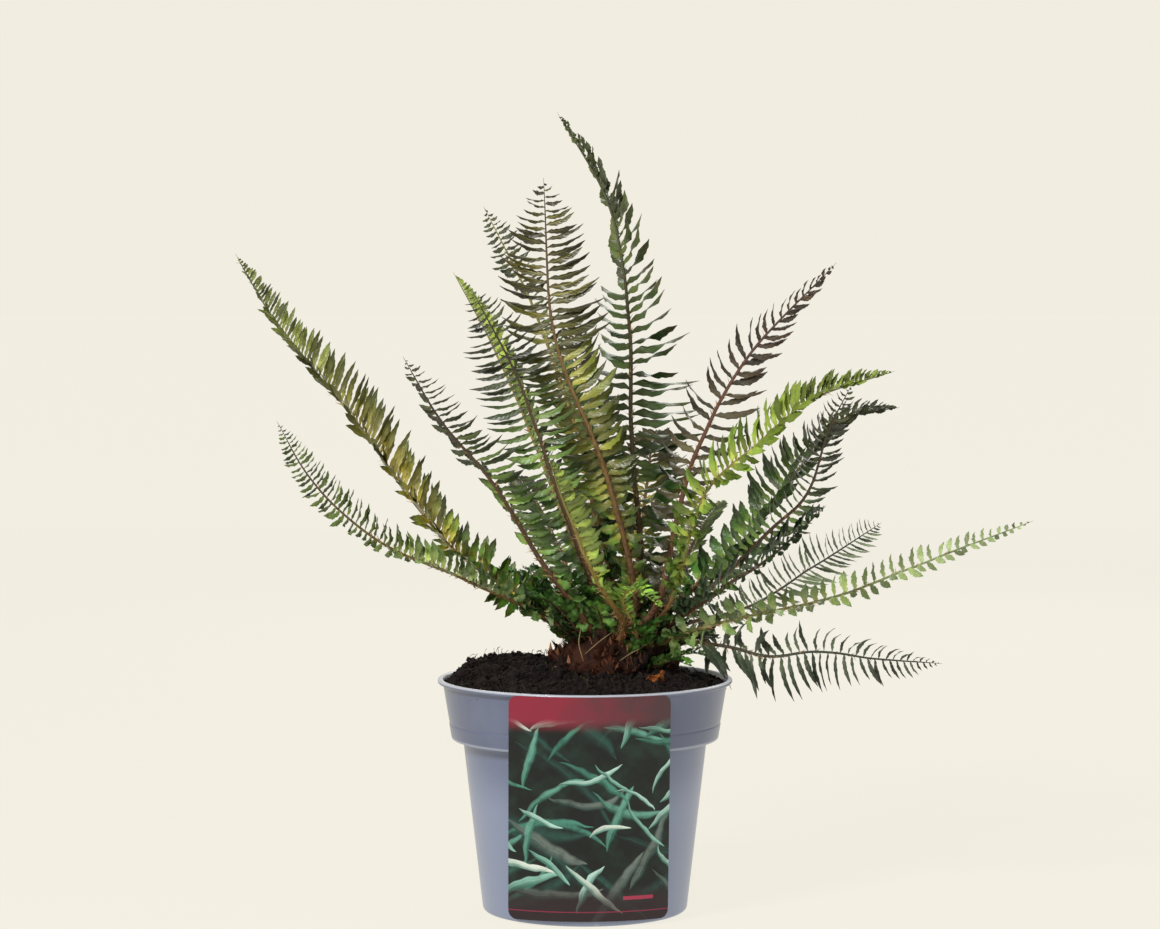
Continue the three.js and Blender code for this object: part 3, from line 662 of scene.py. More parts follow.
def leaf_stamp():
    """A node group that prints one bent lance leaf with a pale rib over a ground colour."""
    net = Net(bpy.data.node_groups.new("leaf_stamp", "ShaderNodeTree"))
    x, y, along_x, along_y, cosine, sine, length, width, bend, margin, cover = (
        net.given(name, "Float") for name in (
            "X", "Y", "Along X", "Along Y", "Cosine", "Sine", "Length", "Width", "Bend", "Margin", "Cover"))
    ground, dark, light = (net.given(name, "Color") for name in ("Ground", "Dark", "Light"))
    shift_x, shift_y = x - along_x, y - along_y
    along = (shift_x * cosine + shift_y * sine) / length
    across = shift_y * cosine - shift_x * sine
    fall = (1 - along * along).clamped()
    off = (across - fall * bend) / (fall ** 0.8 * width + 0.0005)
    tint = (off + along * 0.6).smooth(-1.1, 1.1).pick(dark, light)
    tint = (abs(off).smooth(0.14, 0.03) * 0.6).pick(tint, light)
    inside = abs(off).smooth(1.0, margin) * abs(along).below(1)
    return net.gives((inside * cover).pick(ground, tint), "Color")


def printed_leaf(layer, draw):
    """Where one leaf lies on the sheet, and its size and tints."""
    angle = math.radians(draw.uniform(*layer["angles"]) + (0 if draw.random() < 0.6 else 70))
    length = draw.uniform(*layer["lengths"]) / 2
    dark, light = draw.choice(layer["tints"])
    return {
        "Along X": draw.uniform(-0.1, 1.15), "Along Y": draw.uniform(0.16, 1.34),
        "Cosine": math.cos(angle), "Sine": math.sin(angle), "Length": length,
        "Width": length * draw.uniform(0.08, 0.19), "Bend": draw.uniform(-0.35, 0.35) * length,
        "Margin": layer["margin"], "Cover": layer["cover"], "Dark": dark, "Light": light,
    }


def sheet_edge():
    made, net = blank_material("sheet_edge")
    shade = net.noise(own_place(net), 60, 2).pick("#c9a9ab", "#a89a9c")
    return surfaced(made, net, {"Base Color": shade, "Roughness": 0.45})


def compost(name, dark, light):
    made, net = blank_material(name)
    place = own_place(net)
    clumps = net.noise(place, 240, 5, 0.7)
    fibre = net.noise(place * (1, 0.3, 1), 900, 3)
    return surfaced(made, net, {
        "Base Color": painted(
            clumps.smooth(0.35, 0.75).pick(dark, light), (fibre.smooth(0.62, 0.75), "#4a3626")),
        "Roughness": 0.75 + 0.2 * clumps,
        "Specular IOR Level": 0.15,
        "Normal": bumped(net, clumps + 0.4 * fibre, 1.2 * MM),
    })


def bark(name, dark, light, dry, right_in_shade=False):
    """Rhizome, chaff and dry bits: streaked along their own grain. The last flag adds painted shade, darker
    to the right.
    """
    made, net = blank_material(name)
    place = own_place(net)
    wide = net.noise(place, 90, 4)
    fine = net.noise(place * (1, 1, 0.35), 1500, 3)
    base = painted(
        wide.smooth(0.3, 0.7).pick(dark, light),
        (fine.smooth(0.5, 0.8) * 0.5, dry),
        (read(net, "chance").smooth(0.55, 1.0), dry))
    if right_in_shade:
        # Painted shade: darker towards the right, away from the key light.
        base = base * (place.axis("X").smooth(0.04, 0.002) * 0.75 + 0.25)
    return surfaced(made, net, {
        "Base Color": base,
        "Roughness": 0.7 + 0.2 * fine,
        "Specular IOR Level": 0.2,
        "Normal": bumped(net, fine + wide, 0.5 * MM, 0.7),
    })


def stalk_skin(name, low, mid, high):
    """A stalk: brown and hairy at its foot, greener or darker towards its tip."""
    made, net = blank_material(name)
    share = read(net, "share")
    streak = net.noise(own_place(net) * (1, 1, 0.2), 1200, 3)
    return surfaced(made, net, {
        "Base Color": painted(
            share.smooth(0.05, 0.4).pick(low, mid),
            (share.smooth(0.5, 0.9), high),
            (streak.smooth(0.45, 0.8) * 0.5, "#2c1c12")),
        "Roughness": 0.5 + 0.2 * streak,
        "Normal": bumped(net, streak, 0.25 * MM, 0.6),
    })


def leaf_skin(name, blade, foot, tip, high, under, low):
    """A leaflet: pale along its foot and rib, darker to its margin and tip, veined, satin."""
    made, net = blank_material(name)
    along, across, over = read(net, "leaf", "Vector").axes()
    share = read(net, "share")
    chance = read(net, "chance")
    mottle = net.noise(own_place(net), 160, 3)
    lamina = (share + 0.12 * mottle).smooth(0.2, 0.5).pick(low, blade)
    veins = ((along * 22 - abs(across) * 3) * math.pi).sine()
    rib = abs(across).smooth(0.16, 0.04) * 0.45
    base = painted(
        along.smooth(0.12, 0.55).pick(foot, lamina),
        (along.smooth(0.5, 0.92), tip),
        (over.smooth(-0.1, -0.6) * 0.5, under),
        # Towards the frond's tip: painted backlit shade, dark brown in most looks.
        (share.smooth(0.45, 0.8) * 0.92, high),
        (veins.smooth(0.55, 1.0) * 0.16, foot),
        (rib, foot))
    shade = 0.34 + 1.65 * chance * chance + 0.46 * mottle
    scorch = along.smooth(0.8, 1.0) * chance.smooth(0.7, 0.95) * 0.8
    return surfaced(made, net, {
        "Base Color": scorch.pick(base * shade, "#4a3018"),
        "Roughness": 0.27 + 0.2 * mottle,
        "Specular IOR Level": 0.5,
        "Normal": bumped(net, veins * 0.35 - 2 * rib + mottle, 0.16 * MM, 0.8),
    })


# A leaflet's colours: blade, foot, tip, near the frond's tip, underside, and blade near the frond's foot
# In most looks the colour near the frond's tip is a painted backlit shade.
LOOKS = {
    "olive": ("#626a24", "#8c8632", "#303a16", "#261e10", "#6a7232", "#457228"),
    "bright": ("#76943a", "#a5ad4c", "#527428", "#6a7a30", "#9aaa55", "#4a6f2a"),
    "deep": ("#38561f", "#60762c", "#20300f", "#241d12", "#5a733c", "#427430"),
    "dusky": ("#423824", "#4e482a", "#33271c", "#3a2a1e", "#57503a", "#3c4a24"),
    "grey": ("#505c48", "#626c52", "#3a4238", "#42463c", "#6f7a64", "#3f4f38"),
    "tall": ("#35522b", "#4c5a28", "#4a4420", "#4a5226", "#526838", "#33562a"),
    "strip": ("#5f8a44", "#8c984c", "#3a6430", "#241d14", "#6a8c54", "#428a46"),
    "pale": ("#7d8c6c", "#929c78", "#66745c", "#77846c", "#98a486", "#5f7450"),
    "young": ("#35591f", "#52762c", "#224016", "#3c6624", "#5a7e42", "#2a4e1c"),
    "comb": ("#4c6a28", "#66792e", "#2c3c18", "#211b12", "#5a7436", "#44752c"),
    "slim": ("#40602a", "#5c7434", "#2e4622", "#8d9c3e", "#557040", "#33541f"),
    "spring": ("#4f7a2c", "#7a9a44", "#35582a", "#4f7a2c", "#6f9a50", "#3c6628"),
    "mustard": ("#7d792e", "#a0923c", "#38481e", "#58642c", "#8c8a48", "#4f8a30"),
    "mixed": ("#738842", "#98a458", "#506a34", "#566638", "#84956a", "#42703a"),
    "sun": ("#7a963a", "#9aa548", "#56742a", "#6c7c2e", "#94a650", "#2c4a26"),
    "shade": ("#223d18", "#3e5826", "#152510", "#1e2b17", "#4c6840", "#22401a"),
    "lime": ("#76894c", "#96a261", "#5c6f40", "#7c8b60", "#94a070", "#5d7a3c"),
    "fresh": ("#6fa52a", "#a5bc4a", "#4f8a28", "#7aa838", "#9ab858", "#5f9c2a"),
}
# A stalk's colours at its foot, its middle and its tip
STALKS = {
    "olive": ("#7e5c40", "#7d6034", "#4a3c22"),
    "bright": ("#8a6238", "#94803f", "#7a7a38"),
    "deep": ("#74543c", "#523c26", "#30261a"),
    "dusky": ("#7a563e", "#603e2a", "#3c2a1e"),
    "grey": ("#5a4430", "#464c3a", "#30362e"),
    "lime": ("#7a6a3c", "#7f8a50", "#7c8c5c"),
    "tall": ("#5a3d28", "#4c4a26", "#3c4424"),
}


# Growing trees
def scattered(net, skin, density, seed, where=True):
    """Spots strewn by chance over a skin."""
    return net.add(
        "GeometryNodeDistributePointsOnFaces", {"distribute_method": "RANDOM"},
        {"Mesh": skin, "Selection": where, "Density": density, "Seed": seed})


def copied(net, points, shape, pose):
    """A shape set on points as real geometry. pose holds each copy's turn and size."""
    copies = net.add("GeometryNodeInstanceOnPoints", {}, {"Points": points, "Instance": shape} | pose)
    return net.add("GeometryNodeRealizeInstances", {}, {"Geometry": copies})


def chaff(net, skin, grain, density, seed, size, lean, breadth):
    """Papery scales on a skin. They lie along the grain and lift off it by a lean."""
    spots = scattered(net, skin, density, seed)
    away = spots.out("Normal")
    way = (grain + away * lean + net.chance((-1, -1, -1), (1, 1, 1), seed) * 0.45).unit()
    turn = net.add(
        "FunctionNodeAxesToRotation", {"primary_axis": "Z", "secondary_axis": "X"},
        {"Primary Axis": way, "Secondary Axis": way.cross(away)})
    scale = net.add(
        "GeometryNodeMeshCone", {"fill_type": "NGON"},
        {"Vertices": 4, "Side Segments": 2, "Radius Top": 0.04, "Radius Bottom": 0.5, "Depth": 1.0}, "Mesh")
    tall = net.place().axis("Z")
    curl = net.vector(0, tall * tall * -1.5, 0)
    scale = net.add("GeometryNodeSetPosition", {}, {"Geometry": scale, "Offset": curl})
    length = size * net.chance(0.55, 1.3, seed)
    points = net.keep(spots.out("Points"), "chance", net.chance(0, 1, seed))
    return copied(net, points, scale, {
        "Rotation": turn, "Scale": net.vector(length * breadth, length * 0.1, length)})


def smoothed(net, geometry):
    return net.add("GeometryNodeSetShadeSmooth", {}, {"Geometry": geometry})


def coated(net, coats):
    """Ends a tree with geometries joined, each in its own material."""
    parts = [
        net.add("GeometryNodeSetMaterial", {}, {"Geometry": geometry, "Material": skin})
        for geometry, skin in coats]
    return net.gives(net.add("GeometryNodeJoinGeometry", {}, {"Geometry": parts}))


def frond_tree():
    """A frond grown along a line: its stalk, the chaff on it and two rows of leaflets."""
    net = Net(bpy.data.node_groups.new("frond", "GeometryNodeTree"))
    line = net.given("Line", "Geometry")
    given = {name: net.given(name, "Float") for name in ("Leaf", "Foot Width", "Tip Width", *FROND_INPUTS)}
    given |= {name: net.given(name, "Int") for name in ("Rings", "Leaflets", "Seed")}
    skins = [net.given(name, "Material") for name in ("Stalk Skin", "Chaff Skin", "Leaf Skin")]
    spine = net.add("GeometryNodeMeshToCurve", {}, {"Mesh": line})
    stalk = stalk_on(net, spine, given)
    grain = net.named("grain", "FLOAT_VECTOR")
    density = STALK["chaff"] * ((1 - net.named("share")) ** 1.5 + 0.04)
    scales = chaff(net, stalk, grain, density, given["Seed"], STALK["chaff_length"], 0.65, 0.24)
    return coated(net, zip((smoothed(net, stalk), scales, leaflets_on(net, spine, given)), skins))


def stalk_on(net, spine, given):
    """A knotty round stalk that narrows along the spine."""
    even = net.add("GeometryNodeResampleCurve", {"mode": "COUNT"}, {"Curve": spine, "Count": given["Rings"]})
    share = net.add("GeometryNodeSplineParameter", {}, {}, "Factor")
    even = net.keep(even, "share", share)
    even = net.keep(even, "grain", net.add("GeometryNodeInputTangent"))
    knots = net.noise(net.place(), 220, 2)
    width = (share ** 0.55).pick(given["Foot Width"], given["Tip Width"]) * (0.85 + 0.3 * knots)
    radius = width * (1 - share ** 12) * 0.5 + 0.08 * MM
    ring = {"Resolution": STALK["sides"], "Radius": 1.0}
    ring = net.add("GeometryNodeCurvePrimitiveCircle", {"mode": "RADIUS"}, ring)
    return net.add(
        "GeometryNodeCurveToMesh", {},
        {"Curve": even, "Profile Curve": ring, "Scale": radius, "Fill Caps": True})


def leaflets_on(net, spine, given):
    """Two alternating rows of leaflets. Each is a flat tube, shaped by its own draw."""
    count = given["Leaflets"]
    index = net.add("GeometryNodeInputIndex")
    step = (index + 0.5) / count
    crowding = LEAFLET["tip_crowding"]
    blade = step ** LEAFLET["foot_crowding"] * (1 + crowding - step * crowding)
    share = given["Bare"] + (0.99 - given["Bare"]) * blade
    face = net.add(
        "GeometryNodeSampleCurve", {"mode": "FACTOR", "use_all_curves": True, "data_type": "FLOAT_VECTOR"},
        {"Curves": spine, "Value": net.named("face", "FLOAT_VECTOR"), "Factor": share}, "Value")
    along = face.out("Tangent")
    normal = (face - along * face.dot(along)).unit()
    side = 1 - 2 * (index % 2)
    across = along.cross(normal) * side

    draw = [net.chance(-1, 1, given["Seed"] + k) for k in range(6)]
    grown_up = (blade / given["Full At"]).clamped()
    young = (grown_up ** 1.3).pick(given["Foot"], 1.0)
    swell = young * (1 - blade ** given["Taper"]) ** LEAFLET["roundness"]
    length = given["Leaf"] * swell * (1 + 0.14 * draw[0])
    width = (given["Leaf"] * 0.13 + 2 * MM) * (0.35 + 0.65 * swell) * (1 + 0.16 * draw[1])
    width = width * given["Breadth"] * grown_up.pick(1 + (1 - given["Foot"]) * LEAFLET["foot_breadth"], 1.0)
    bushy = blade.smooth(0.4, 0.05)
    late = blade.smooth(0.3, 1.0)
    to_tip = blade.smooth(0.3, 0.72)
    lift, sweep, turn = (
        (far.pick(given[name], given["Tip " + name]) + (least + more * bushy) * chance) * math.radians(1)
        for chance, (name, far, least, more) in zip(draw[2:5], (
            ("Lift", late, 12, 42), ("Sweep", late, 8, 34), ("Twist", to_tip, 25, 30))))
    out = (across * sweep.cosine() + along * sweep.sine()) * lift.cosine() + normal * lift.sine()
    fore = (along - out * along.dot(out)).unit()

    spots = net.add("GeometryNodePoints", {}, {"Count": count})
    for name, value in {
            "foot": face.out("Position"), "out": out, "fore": fore, "over": out.cross(fore) * side,
            "size": net.vector(length, width, turn), "share": share, "chance": draw[5] * 0.5 + 0.5}.items():
        spots = net.keep(spots, name, value)
    tube = net.add(
        "GeometryNodeMeshCylinder", {"fill_type": "NGON"},
        {"Vertices": 4, "Side Segments": LEAFLET["rings"] - 1, "Radius": 1.0, "Depth": 1.0}, "Mesh")
    x, y, z = net.place().axes()
    tube = net.keep(tube, "leaf", net.vector(z + 0.5, x, y))
    shaped = net.add(
        "GeometryNodeSetPosition", {},
        {"Geometry": copied(net, spots, tube, {}), "Position": leaflet_place(net, given)})
    margin = abs(net.named("leaf", "FLOAT_VECTOR").axis("Y")).above(0.9)
    return net.keep(smoothed(net, shaped), "sharp_edge", margin, "EDGE", "BOOLEAN")


def leaflet_place(net, given):
    """Where a point of the flat tube goes: along is 0 to 1, across and over are -1 to 1."""
    along, across, above = net.named("leaf", "FLOAT_VECTOR").axes()
    length, width, turn = net.named("size", "FLOAT_VECTOR").axes()
    foot, out, fore, over = (net.named(name, "FLOAT_VECTOR") for name in ("foot", "out", "fore", "over"))
    chance = net.named("chance")

    # Half the breadth along a leaflet, from its foot to its tip: an ear on one side, a wedge on the other
    ear = net.add("ShaderNodeFloatCurve", {"points": [
        (0, 0.1), (0.05, 0.16), (0.09, 0.7), (0.14, 0.82), (0.22, 0.66), (0.36, 0.86), (0.5, 1),
        (0.7, 0.84), (0.88, 0.42), (1, 0.02)]}, {"Value": along})
    wedge = net.add("ShaderNodeFloatCurve", {"points": [
        (0, 0.1), (0.06, 0.14), (0.2, 0.5), (0.36, 0.84), (0.52, 1), (0.7, 0.86), (0.88, 0.42),
        (1, 0.02)]}, {"Value": along})
    tooth = net.maths("PINGPONG", along * (LEAFLET["rings"] - 1), 1) * 0.2
    half = across.above(0).pick(wedge, ear) * (1 - tooth) * width * 0.5

    angle = turn + (along.smooth(0.02, 0.6) - 0.45) * (given["Waist"] * math.radians(1))
    edge = fore * angle.cosine() + over * angle.sine()
    skin = over * angle.cosine() - fore * angle.sine()
    margin = abs(across)
    ripple = (along * 14 + chance * 6 + across * 0.7).sine() * 0.22
    rise = half * margin * (0.38 + ripple) + above * (LEAFLET["thickness"] / 2) * (1.1 - along)
    run = length * (along + margin * 0.015)
    bow = length * along * along
    hang = given["Sag"] * (0.5 + chance)
    return (
        foot + out * run + fore * (bow * given["Curl"]) + edge * (across * half) + skin * rise
        + skin * (bow * (given["Arch"] + 0.12 - 0.26 * chance)) - (bow * hang) * Vector((0, 0, 1)))


# Fronds
class Strand:
    """A centripetal Catmull-Rom curve through given points, in even steps."""

    samples = 18
    fine = 24

    def __init__(self, knots):
        dense = self.curve(knots)
        reach = np.concatenate([[0], np.cumsum(np.linalg.norm(np.diff(dense, axis=0), axis=1))])
        self.length = reach[-1]
        self.shares = np.linspace(0, 1, self.samples)
        steps = self.shares * self.length
        self.places = np.stack([np.interp(steps, reach, dense[:, k]) for k in range(3)], 1)

    def curve(self, knots):
        ends = [2 * knots[0] - knots[1], *knots, 2 * knots[-1] - knots[-2]]
        made = []
        for p0, p1, p2, p3 in zip(ends, ends[1:], ends[2:], ends[3:]):
            d0, d1, d2 = (math.sqrt(np.linalg.norm(b - a)) for a, b in ((p0, p1), (p1, p2), (p2, p3)))
            m1 = ((p1 - p0) / d0 - (p2 - p0) / (d0 + d1) + (p2 - p1) / d1) * d1
            m2 = ((p2 - p1) / d1 - (p3 - p1) / (d1 + d2) + (p3 - p2) / d2) * d1
            for t in np.arange(self.fine) / self.fine:
                made.append(
                    (2 * t ** 3 - 3 * t ** 2 + 1) * p1 + (t ** 3 - 2 * t ** 2 + t) * m1
                    + (3 * t ** 2 - 2 * t ** 3) * p2 + (t ** 3 - t ** 2) * m2)
        return np.array([*made, knots[-1]])


class Spine(Strand):
    """A stalk's line, rooted in the crown, and the way the frond faces along it."""

    samples = 72

    def __init__(self, spec):
        path = [np.array(place, float) * MM for place in spec["path"]]
        centre, radii = np.array(CROWN["centre"]), np.array(CROWN["radii"])
        toward = (path[0] - centre) / radii
        root = centre + toward / np.linalg.norm(toward) * radii * CROWN["root_depth"]
        super().__init__([root, *path])
        for k, share in enumerate(self.shares):
            spot = Vector(self.places[k]) * 42
            stray = np.array(noise.noise_vector(spot))
            self.places[k] += stray * (STALK["wander"] * math.sin(math.pi * share))
        turn = self.shares[:, None] ** spec["face_turn"]
        self.faces = np.array(spec["face"]) * (1 - turn) + np.array(spec["tip_face"]) * turn

    def mesh(self, name):
        edges = [(k, k + 1) for k in range(self.samples - 1)]
        mesh = bpy.data.meshes.new(name)
        mesh.from_pydata([tuple(place) for place in self.places], edges, [])
        face = mesh.attributes.new("face", "FLOAT_VECTOR", "POINT")
        face.data.foreach_set("vector", self.faces.astype(np.float32).ravel())
        return mesh


def make_fronds():
    # Without a seed of its own noise_vector would start from the clock
    noise.seed_set(STALK["wander_seed"])
    tree = frond_tree()
    leaves = {tone: leaf_skin("leaf_" + tone, *codes) for tone, codes in LOOKS.items()}
    stalks = {tone: stalk_skin("stalk_" + tone, *codes) for tone, codes in STALKS.items()}
    skins = leaves, stalks, bark("stalk_chaff", "#5e3c26", "#8a6440", "#b8966c")
    for number, (name, spec) in enumerate(FRONDS.items()):
        piece = grow_frond("leafy_" + name, HABIT | spec, tree, skins, 100 + 10 * number)
        ride_as(piece, "leaf_" + spec["tone"], "frond_" + name)
    draw = random.Random(YOUNG["seed"])
    specs = [
        young_spec(group, number, draw) for group in YOUNG["groups"] for number in range(group["count"])]
    sprays = [grow_frond("spray", spec, tree, skins, 500 + 7 * number) for number, spec in enumerate(specs)]
    ride_as(joined("young_sprays", sprays), "leaf_deep")


def grow_frond(name, spec, tree, skins, seed):
    """One frond as a plain mesh. Short ones have a thinner stalk with fewer rings."""
    spine = Spine(spec)
    size = min(1.0, spine.length / STALK["full_length"])
    leaf, stalk, scale = skins
    tone = spec["tone"]
    look = spec.get("look", tone)
    spec = {"tip_lift": spec["lift"], "tip_sweep": spec["sweep"] + LEAFLET["tip_sweep"]} | spec
    values = {name: float(spec[name.lower().replace(" ", "_")]) for name in FROND_INPUTS}
    return grown(name, spine.mesh(name), tree, values | {
        "Leaf": spec["leaf"] * MM, "Foot Width": STALK["foot"] * size * spec["stalk"],
        "Tip Width": STALK["tip"] * size, "Seed": seed,
        "Leaflets": 2 * round(spine.length * (1 - spec["bare"]) / (spec["pitch"] * MM)),
        "Rings": max(STALK["least_rings"], round(STALK["rings"] * size)),
        "Leaf Skin": leaf[look], "Stalk Skin": stalk.get(look, stalk[tone]), "Chaff Skin": scale,
    })


def crown_point(way, reach=1.0):
    """A point in millimetres that lies some way out from the crown's centre. Its surface is at 1."""
    return np.array(CROWN["centre"]) / MM + np.array(CROWN["radii"]) / MM * way * reach


def young_spec(group, number, draw):
    """A short spray that stands out from the side of the crown and bends over."""
    share = (number + draw.uniform(0, 1)) / group["count"]
    around = math.radians(group["from"] + (group["to"] - group["from"]) * share)
    tilt = math.radians(draw.uniform(*group["tilts"]))
    length = draw.uniform(*group["lengths"])
    outward = np.array((math.cos(around), math.sin(around), 0))
    rise = np.array((0, 0, 1))
    start = crown_point(outward * math.cos(tilt) + rise * math.sin(tilt))
    way = outward * math.cos(tilt * 0.7) + rise * math.sin(tilt * 0.7)
    path = [
        tuple(start + length * (share * way + rise * (0.5 * share - 0.45 * share ** 2)))
        for share in (0, 0.35, 0.7, 1)]
    return HABIT | YOUNG["habit"] | dict(
        look=draw.choice(YOUNG["looks"]), leaf=draw.uniform(*group["leaves"]), path=path,
        face=tuple(rise + outward * 0.3), tip_face=tuple(rise * 0.5 + outward))


# Dry bits
def make_dry_bits():
    """Straws that lean on the crown, and a curled dry leaf at its right foot."""
    straw = bark("straw", "#7a6444", "#9a845e", "#c0ac86")
    straws = [tube_of("straw", path, STRAW_WIDTH, straw) for path in STRAWS]
    ride_as(joined("dry_straws", straws), "rhizome")
    ride_as(withered_leaf(), "rhizome")


def withered_leaf():
    """A small ragged sheet that has curled up as it dried."""
    d = DRY_LEAF
    turn = Euler([math.radians(angle) for angle in d["turned"]]).to_matrix()
    across = d["cells"] + 1
    places, faces = [], []
    for i in range(across):
        for j in range(across):
            u, v = 2 * i / d["cells"] - 1, 2 * j / d["cells"] - 1
            ragged = 1 + d["ragged"] * noise.noise(Vector((3 * u, 3 * v, d["seed"])))
            x = u * math.sqrt(1 - v * v / 2) * d["size"][0] / 2 * ragged
            y = v * math.sqrt(1 - u * u / 2) * d["size"][1] / 2 * ragged
            waves = d["waves"] * noise.noise(Vector((1.7 * u, 1.7 * v, 9)))
            z = d["curl"] * u * u + waves - d["droop"] * v * v * v
            places.append((turn @ Vector((x, y, z)) + Vector(d["at"])) * MM)
    for i in range(d["cells"]):
        for j in range(d["cells"]):
            a = i * across + j
            faces.append((a, a + across, a + across + 1, a + 1))
    piece = holder_of("dry_leaf", mesh_of("dry_leaf", places, faces))
    piece.data.materials.append(bark("dry_leaf", "#5a2c12", "#a85c24", "#d89a50"))
    thick = piece.modifiers.new("thick", "SOLIDIFY")
    thick.thickness = d["thickness"]
    return soft_shaded(baked(piece))


# Pot and card
def make_pot():
    p = POT
    wall = p["wall"]
    lip_foot = p["height"] - p["lip_drop"]
    slope = (p["collar_top"] - p["collar_foot"]) / (lip_foot - p["step_height"])
    line_radius = p["collar_foot"] + slope * (p["line_height"] - p["step_height"])
    size = p["line_size"]
    outer = [
        (0, 0), (p["disc_radius"], 0), (p["channel_inner"], p["channel_rise"]),
        (p["channel_outer"], p["channel_rise"]), (p["ring_inner"], 0),
        (p["foot_radius"] - p["foot_bevel"], 0), (p["foot_radius"], p["foot_bevel"]),
        (p["body_top"], p["step_height"] - p["step_rise"]), (p["collar_foot"], p["step_height"]),
        (line_radius, p["line_height"] - 2 * size), (line_radius - size, p["line_height"]),
        (line_radius, p["line_height"] + 2 * size), (p["collar_top"], lip_foot - 2 * size),
        (p["lip_radius"], lip_foot), (p["lip_radius"], p["height"] - size),
        (p["lip_radius"] - 1.2 * MM, p["height"]), (p["mouth_radius"], p["height"]),
    ]
    inner = [
        (p["throat_radius"], p["height"] - p["throat_drop"]),
        (p["collar_foot"] - wall, p["step_height"] + 1 * MM),
        (p["body_top"] - wall, p["step_height"] - 0.6 * MM),
        (p["foot_radius"] - wall, p["channel_rise"] + wall),
        (p["channel_inner"] + wall / 2, p["channel_rise"] + wall),
        (p["disc_radius"] - wall / 2, wall), (0, wall),
    ]
    pot = holder_of("moulded_pot", lathe("moulded_pot", eased(outer + inner, p["rounding"]), p["sides"]))
    pot.data.materials.append(moulded_plastic())
    drill = holder_of("drill", drills())
    cut = pot.modifiers.new("drain", "BOOLEAN")
    cut.operation = "DIFFERENCE"
    cut.solver = "EXACT"
    cut.object = drill
    baked(pot)
    bpy.data.objects.remove(drill)
    soft_shaded(pot).data.set_sharp_from_angle(angle=math.radians(38))
    ride_as(pot, "pot_plastic", "pot")


def drills():
    """The drain holes' cutters, in one mesh."""
    places, faces = [], []
    sides, at, radius = DRAIN["sides"], DRAIN["at_radius"], DRAIN["radius"]
    for k in range(DRAIN["count"]):
        angle = (k + 0.5) * 2 * math.pi / DRAIN["count"]
        x, y = at * math.cos(angle), at * math.sin(angle)
        faces += tube_faces(2, sides, len(places))
        for z in (-DRAIN["depth"], DRAIN["depth"]):
            places += [(x + radius * cosine, y + radius * sine, z) for cosine, sine in circle(sides)]
    return mesh_of("drill", places, faces)


def make_card():
    """A thin sheet bent round an upright axis, leaning from the pot's foot out to its lip."""
    c = CARD
    columns, rows = c["columns"], c["rows"]
    height = c["top"] - c["foot"]
    lean = (c["top_face"] - c["foot_face"]) / height
    half_angle = c["width"] / 2 / c["bend"]
    about = math.radians(c["turned_by"])
    places, uvs = [], []
    for skin in range(2):
        radius = c["bend"] + c["clearance"] + c["thickness"] * (1 - skin)
        for j in range(rows + 1):
            rise = height * (0.5 - 0.5 * math.cos(math.pi * j / rows))
            into = max(0.0, c["corner"] - min(rise, height - rise))
            trim = c["corner"] - math.sqrt(max(0.0, c["corner"] ** 2 - into ** 2))
            for i in range(columns + 1):
                angle = (2 * i / columns - 1) * (half_angle - trim / c["bend"])
                x = radius * math.sin(angle)
                y = c["bend"] - radius * math.cos(angle) - c["foot_face"] - lean * rise
                places.append((
                    x * math.cos(about) - y * math.sin(about), x * math.sin(about) + y * math.cos(about),
                    c["foot"] + rise))
                uvs.append((0.5 + 0.5 * angle / half_angle, rise / height))
    width = columns + 1
    back = width * (rows + 1)
    faces = []
    for j in range(rows):
        for i in range(columns):
            a = j * width + i
            faces.append((a, a + 1, a + width + 1, a + width))
            faces.append((back + a, back + a + width, back + a + width + 1, back + a + 1))
    rim = [*range(columns), *(j * width + columns for j in range(rows))]
    rim += [rows * width + i for i in range(columns, 0, -1)] + [j * width for j in range(rows, 0, -1)]
    faces += [(b, a, back + a, back + b) for a, b in zip(rim, rim[1:] + rim[:1])]
    mesh = mesh_of("bent_card", places, faces)
    layer = mesh.uv_layers.new(name="print")
    for loop in mesh.loops:
        layer.data[loop.index].uv = uvs[loop.vertex_index]
    mesh.materials.append(printed_sheet())
    mesh.materials.append(sheet_edge())
    for face in mesh.polygons:
        face.material_index = 0 if all(v < back for v in face.vertices) else 1
    piece = soft_shaded(holder_of("bent_card", mesh))
    mesh.set_sharp_from_angle(angle=math.radians(40))
    ride_as(piece, "card_print", "care_card")


# Soil and crown
def soil_top(x, y):
    """How high the heap is at a point: two humps with lumps and grit, flat at the rim."""
    brim = 1 - (math.hypot(x, y) / SOIL["brim"]) ** 12
    rise = 0
    for at_x, at_y, height, spread in SOIL["heaps"]:
        rise += height * math.exp(-((x - at_x) ** 2 + (y - at_y) ** 2) / (2 * spread ** 2))
    lumps = noise.fractal(Vector((x, y, 0.3)) * SOIL["lump_scale"], 0.9, 2.1, 4) * SOIL["lump"]
    grit = noise.turbulence(Vector((x, y, 0.7)) * SOIL["grit_scale"], 3, False) * SOIL["grit"]
    return SOIL["edge_level"] + (rise + lumps + grit) * brim


def soil_mesh():
    """The heap: a finely lumpy top over plain sides inside the pot."""
    p, s = POT, SOIL
    inset = p["wall"] + 0.5 * MM
    profile = [
        (0, s["floor"]), (p["foot_radius"] - inset, s["floor"]),
        (p["body_top"] - inset, p["step_height"] - 0.2 * MM),
        (p["collar_foot"] - inset, p["step_height"] + 1.4 * MM),
        (s["edge_radius"], s["edge_level"] - 3 * MM),
    ]
    # The rings of the top stand at a marker height until soil_top places them
    marker = 1.0
    profile += [(s["edge_radius"] * (1 - k / s["rings"]), marker) for k in range(s["rings"] + 1)]
    mesh = lathe("heaped_soil", profile, s["sides"])
    for vertex in mesh.vertices:
        if vertex.co.z > marker - 0.1:
            vertex.co.z = soil_top(vertex.co.x, vertex.co.y)
    return mesh


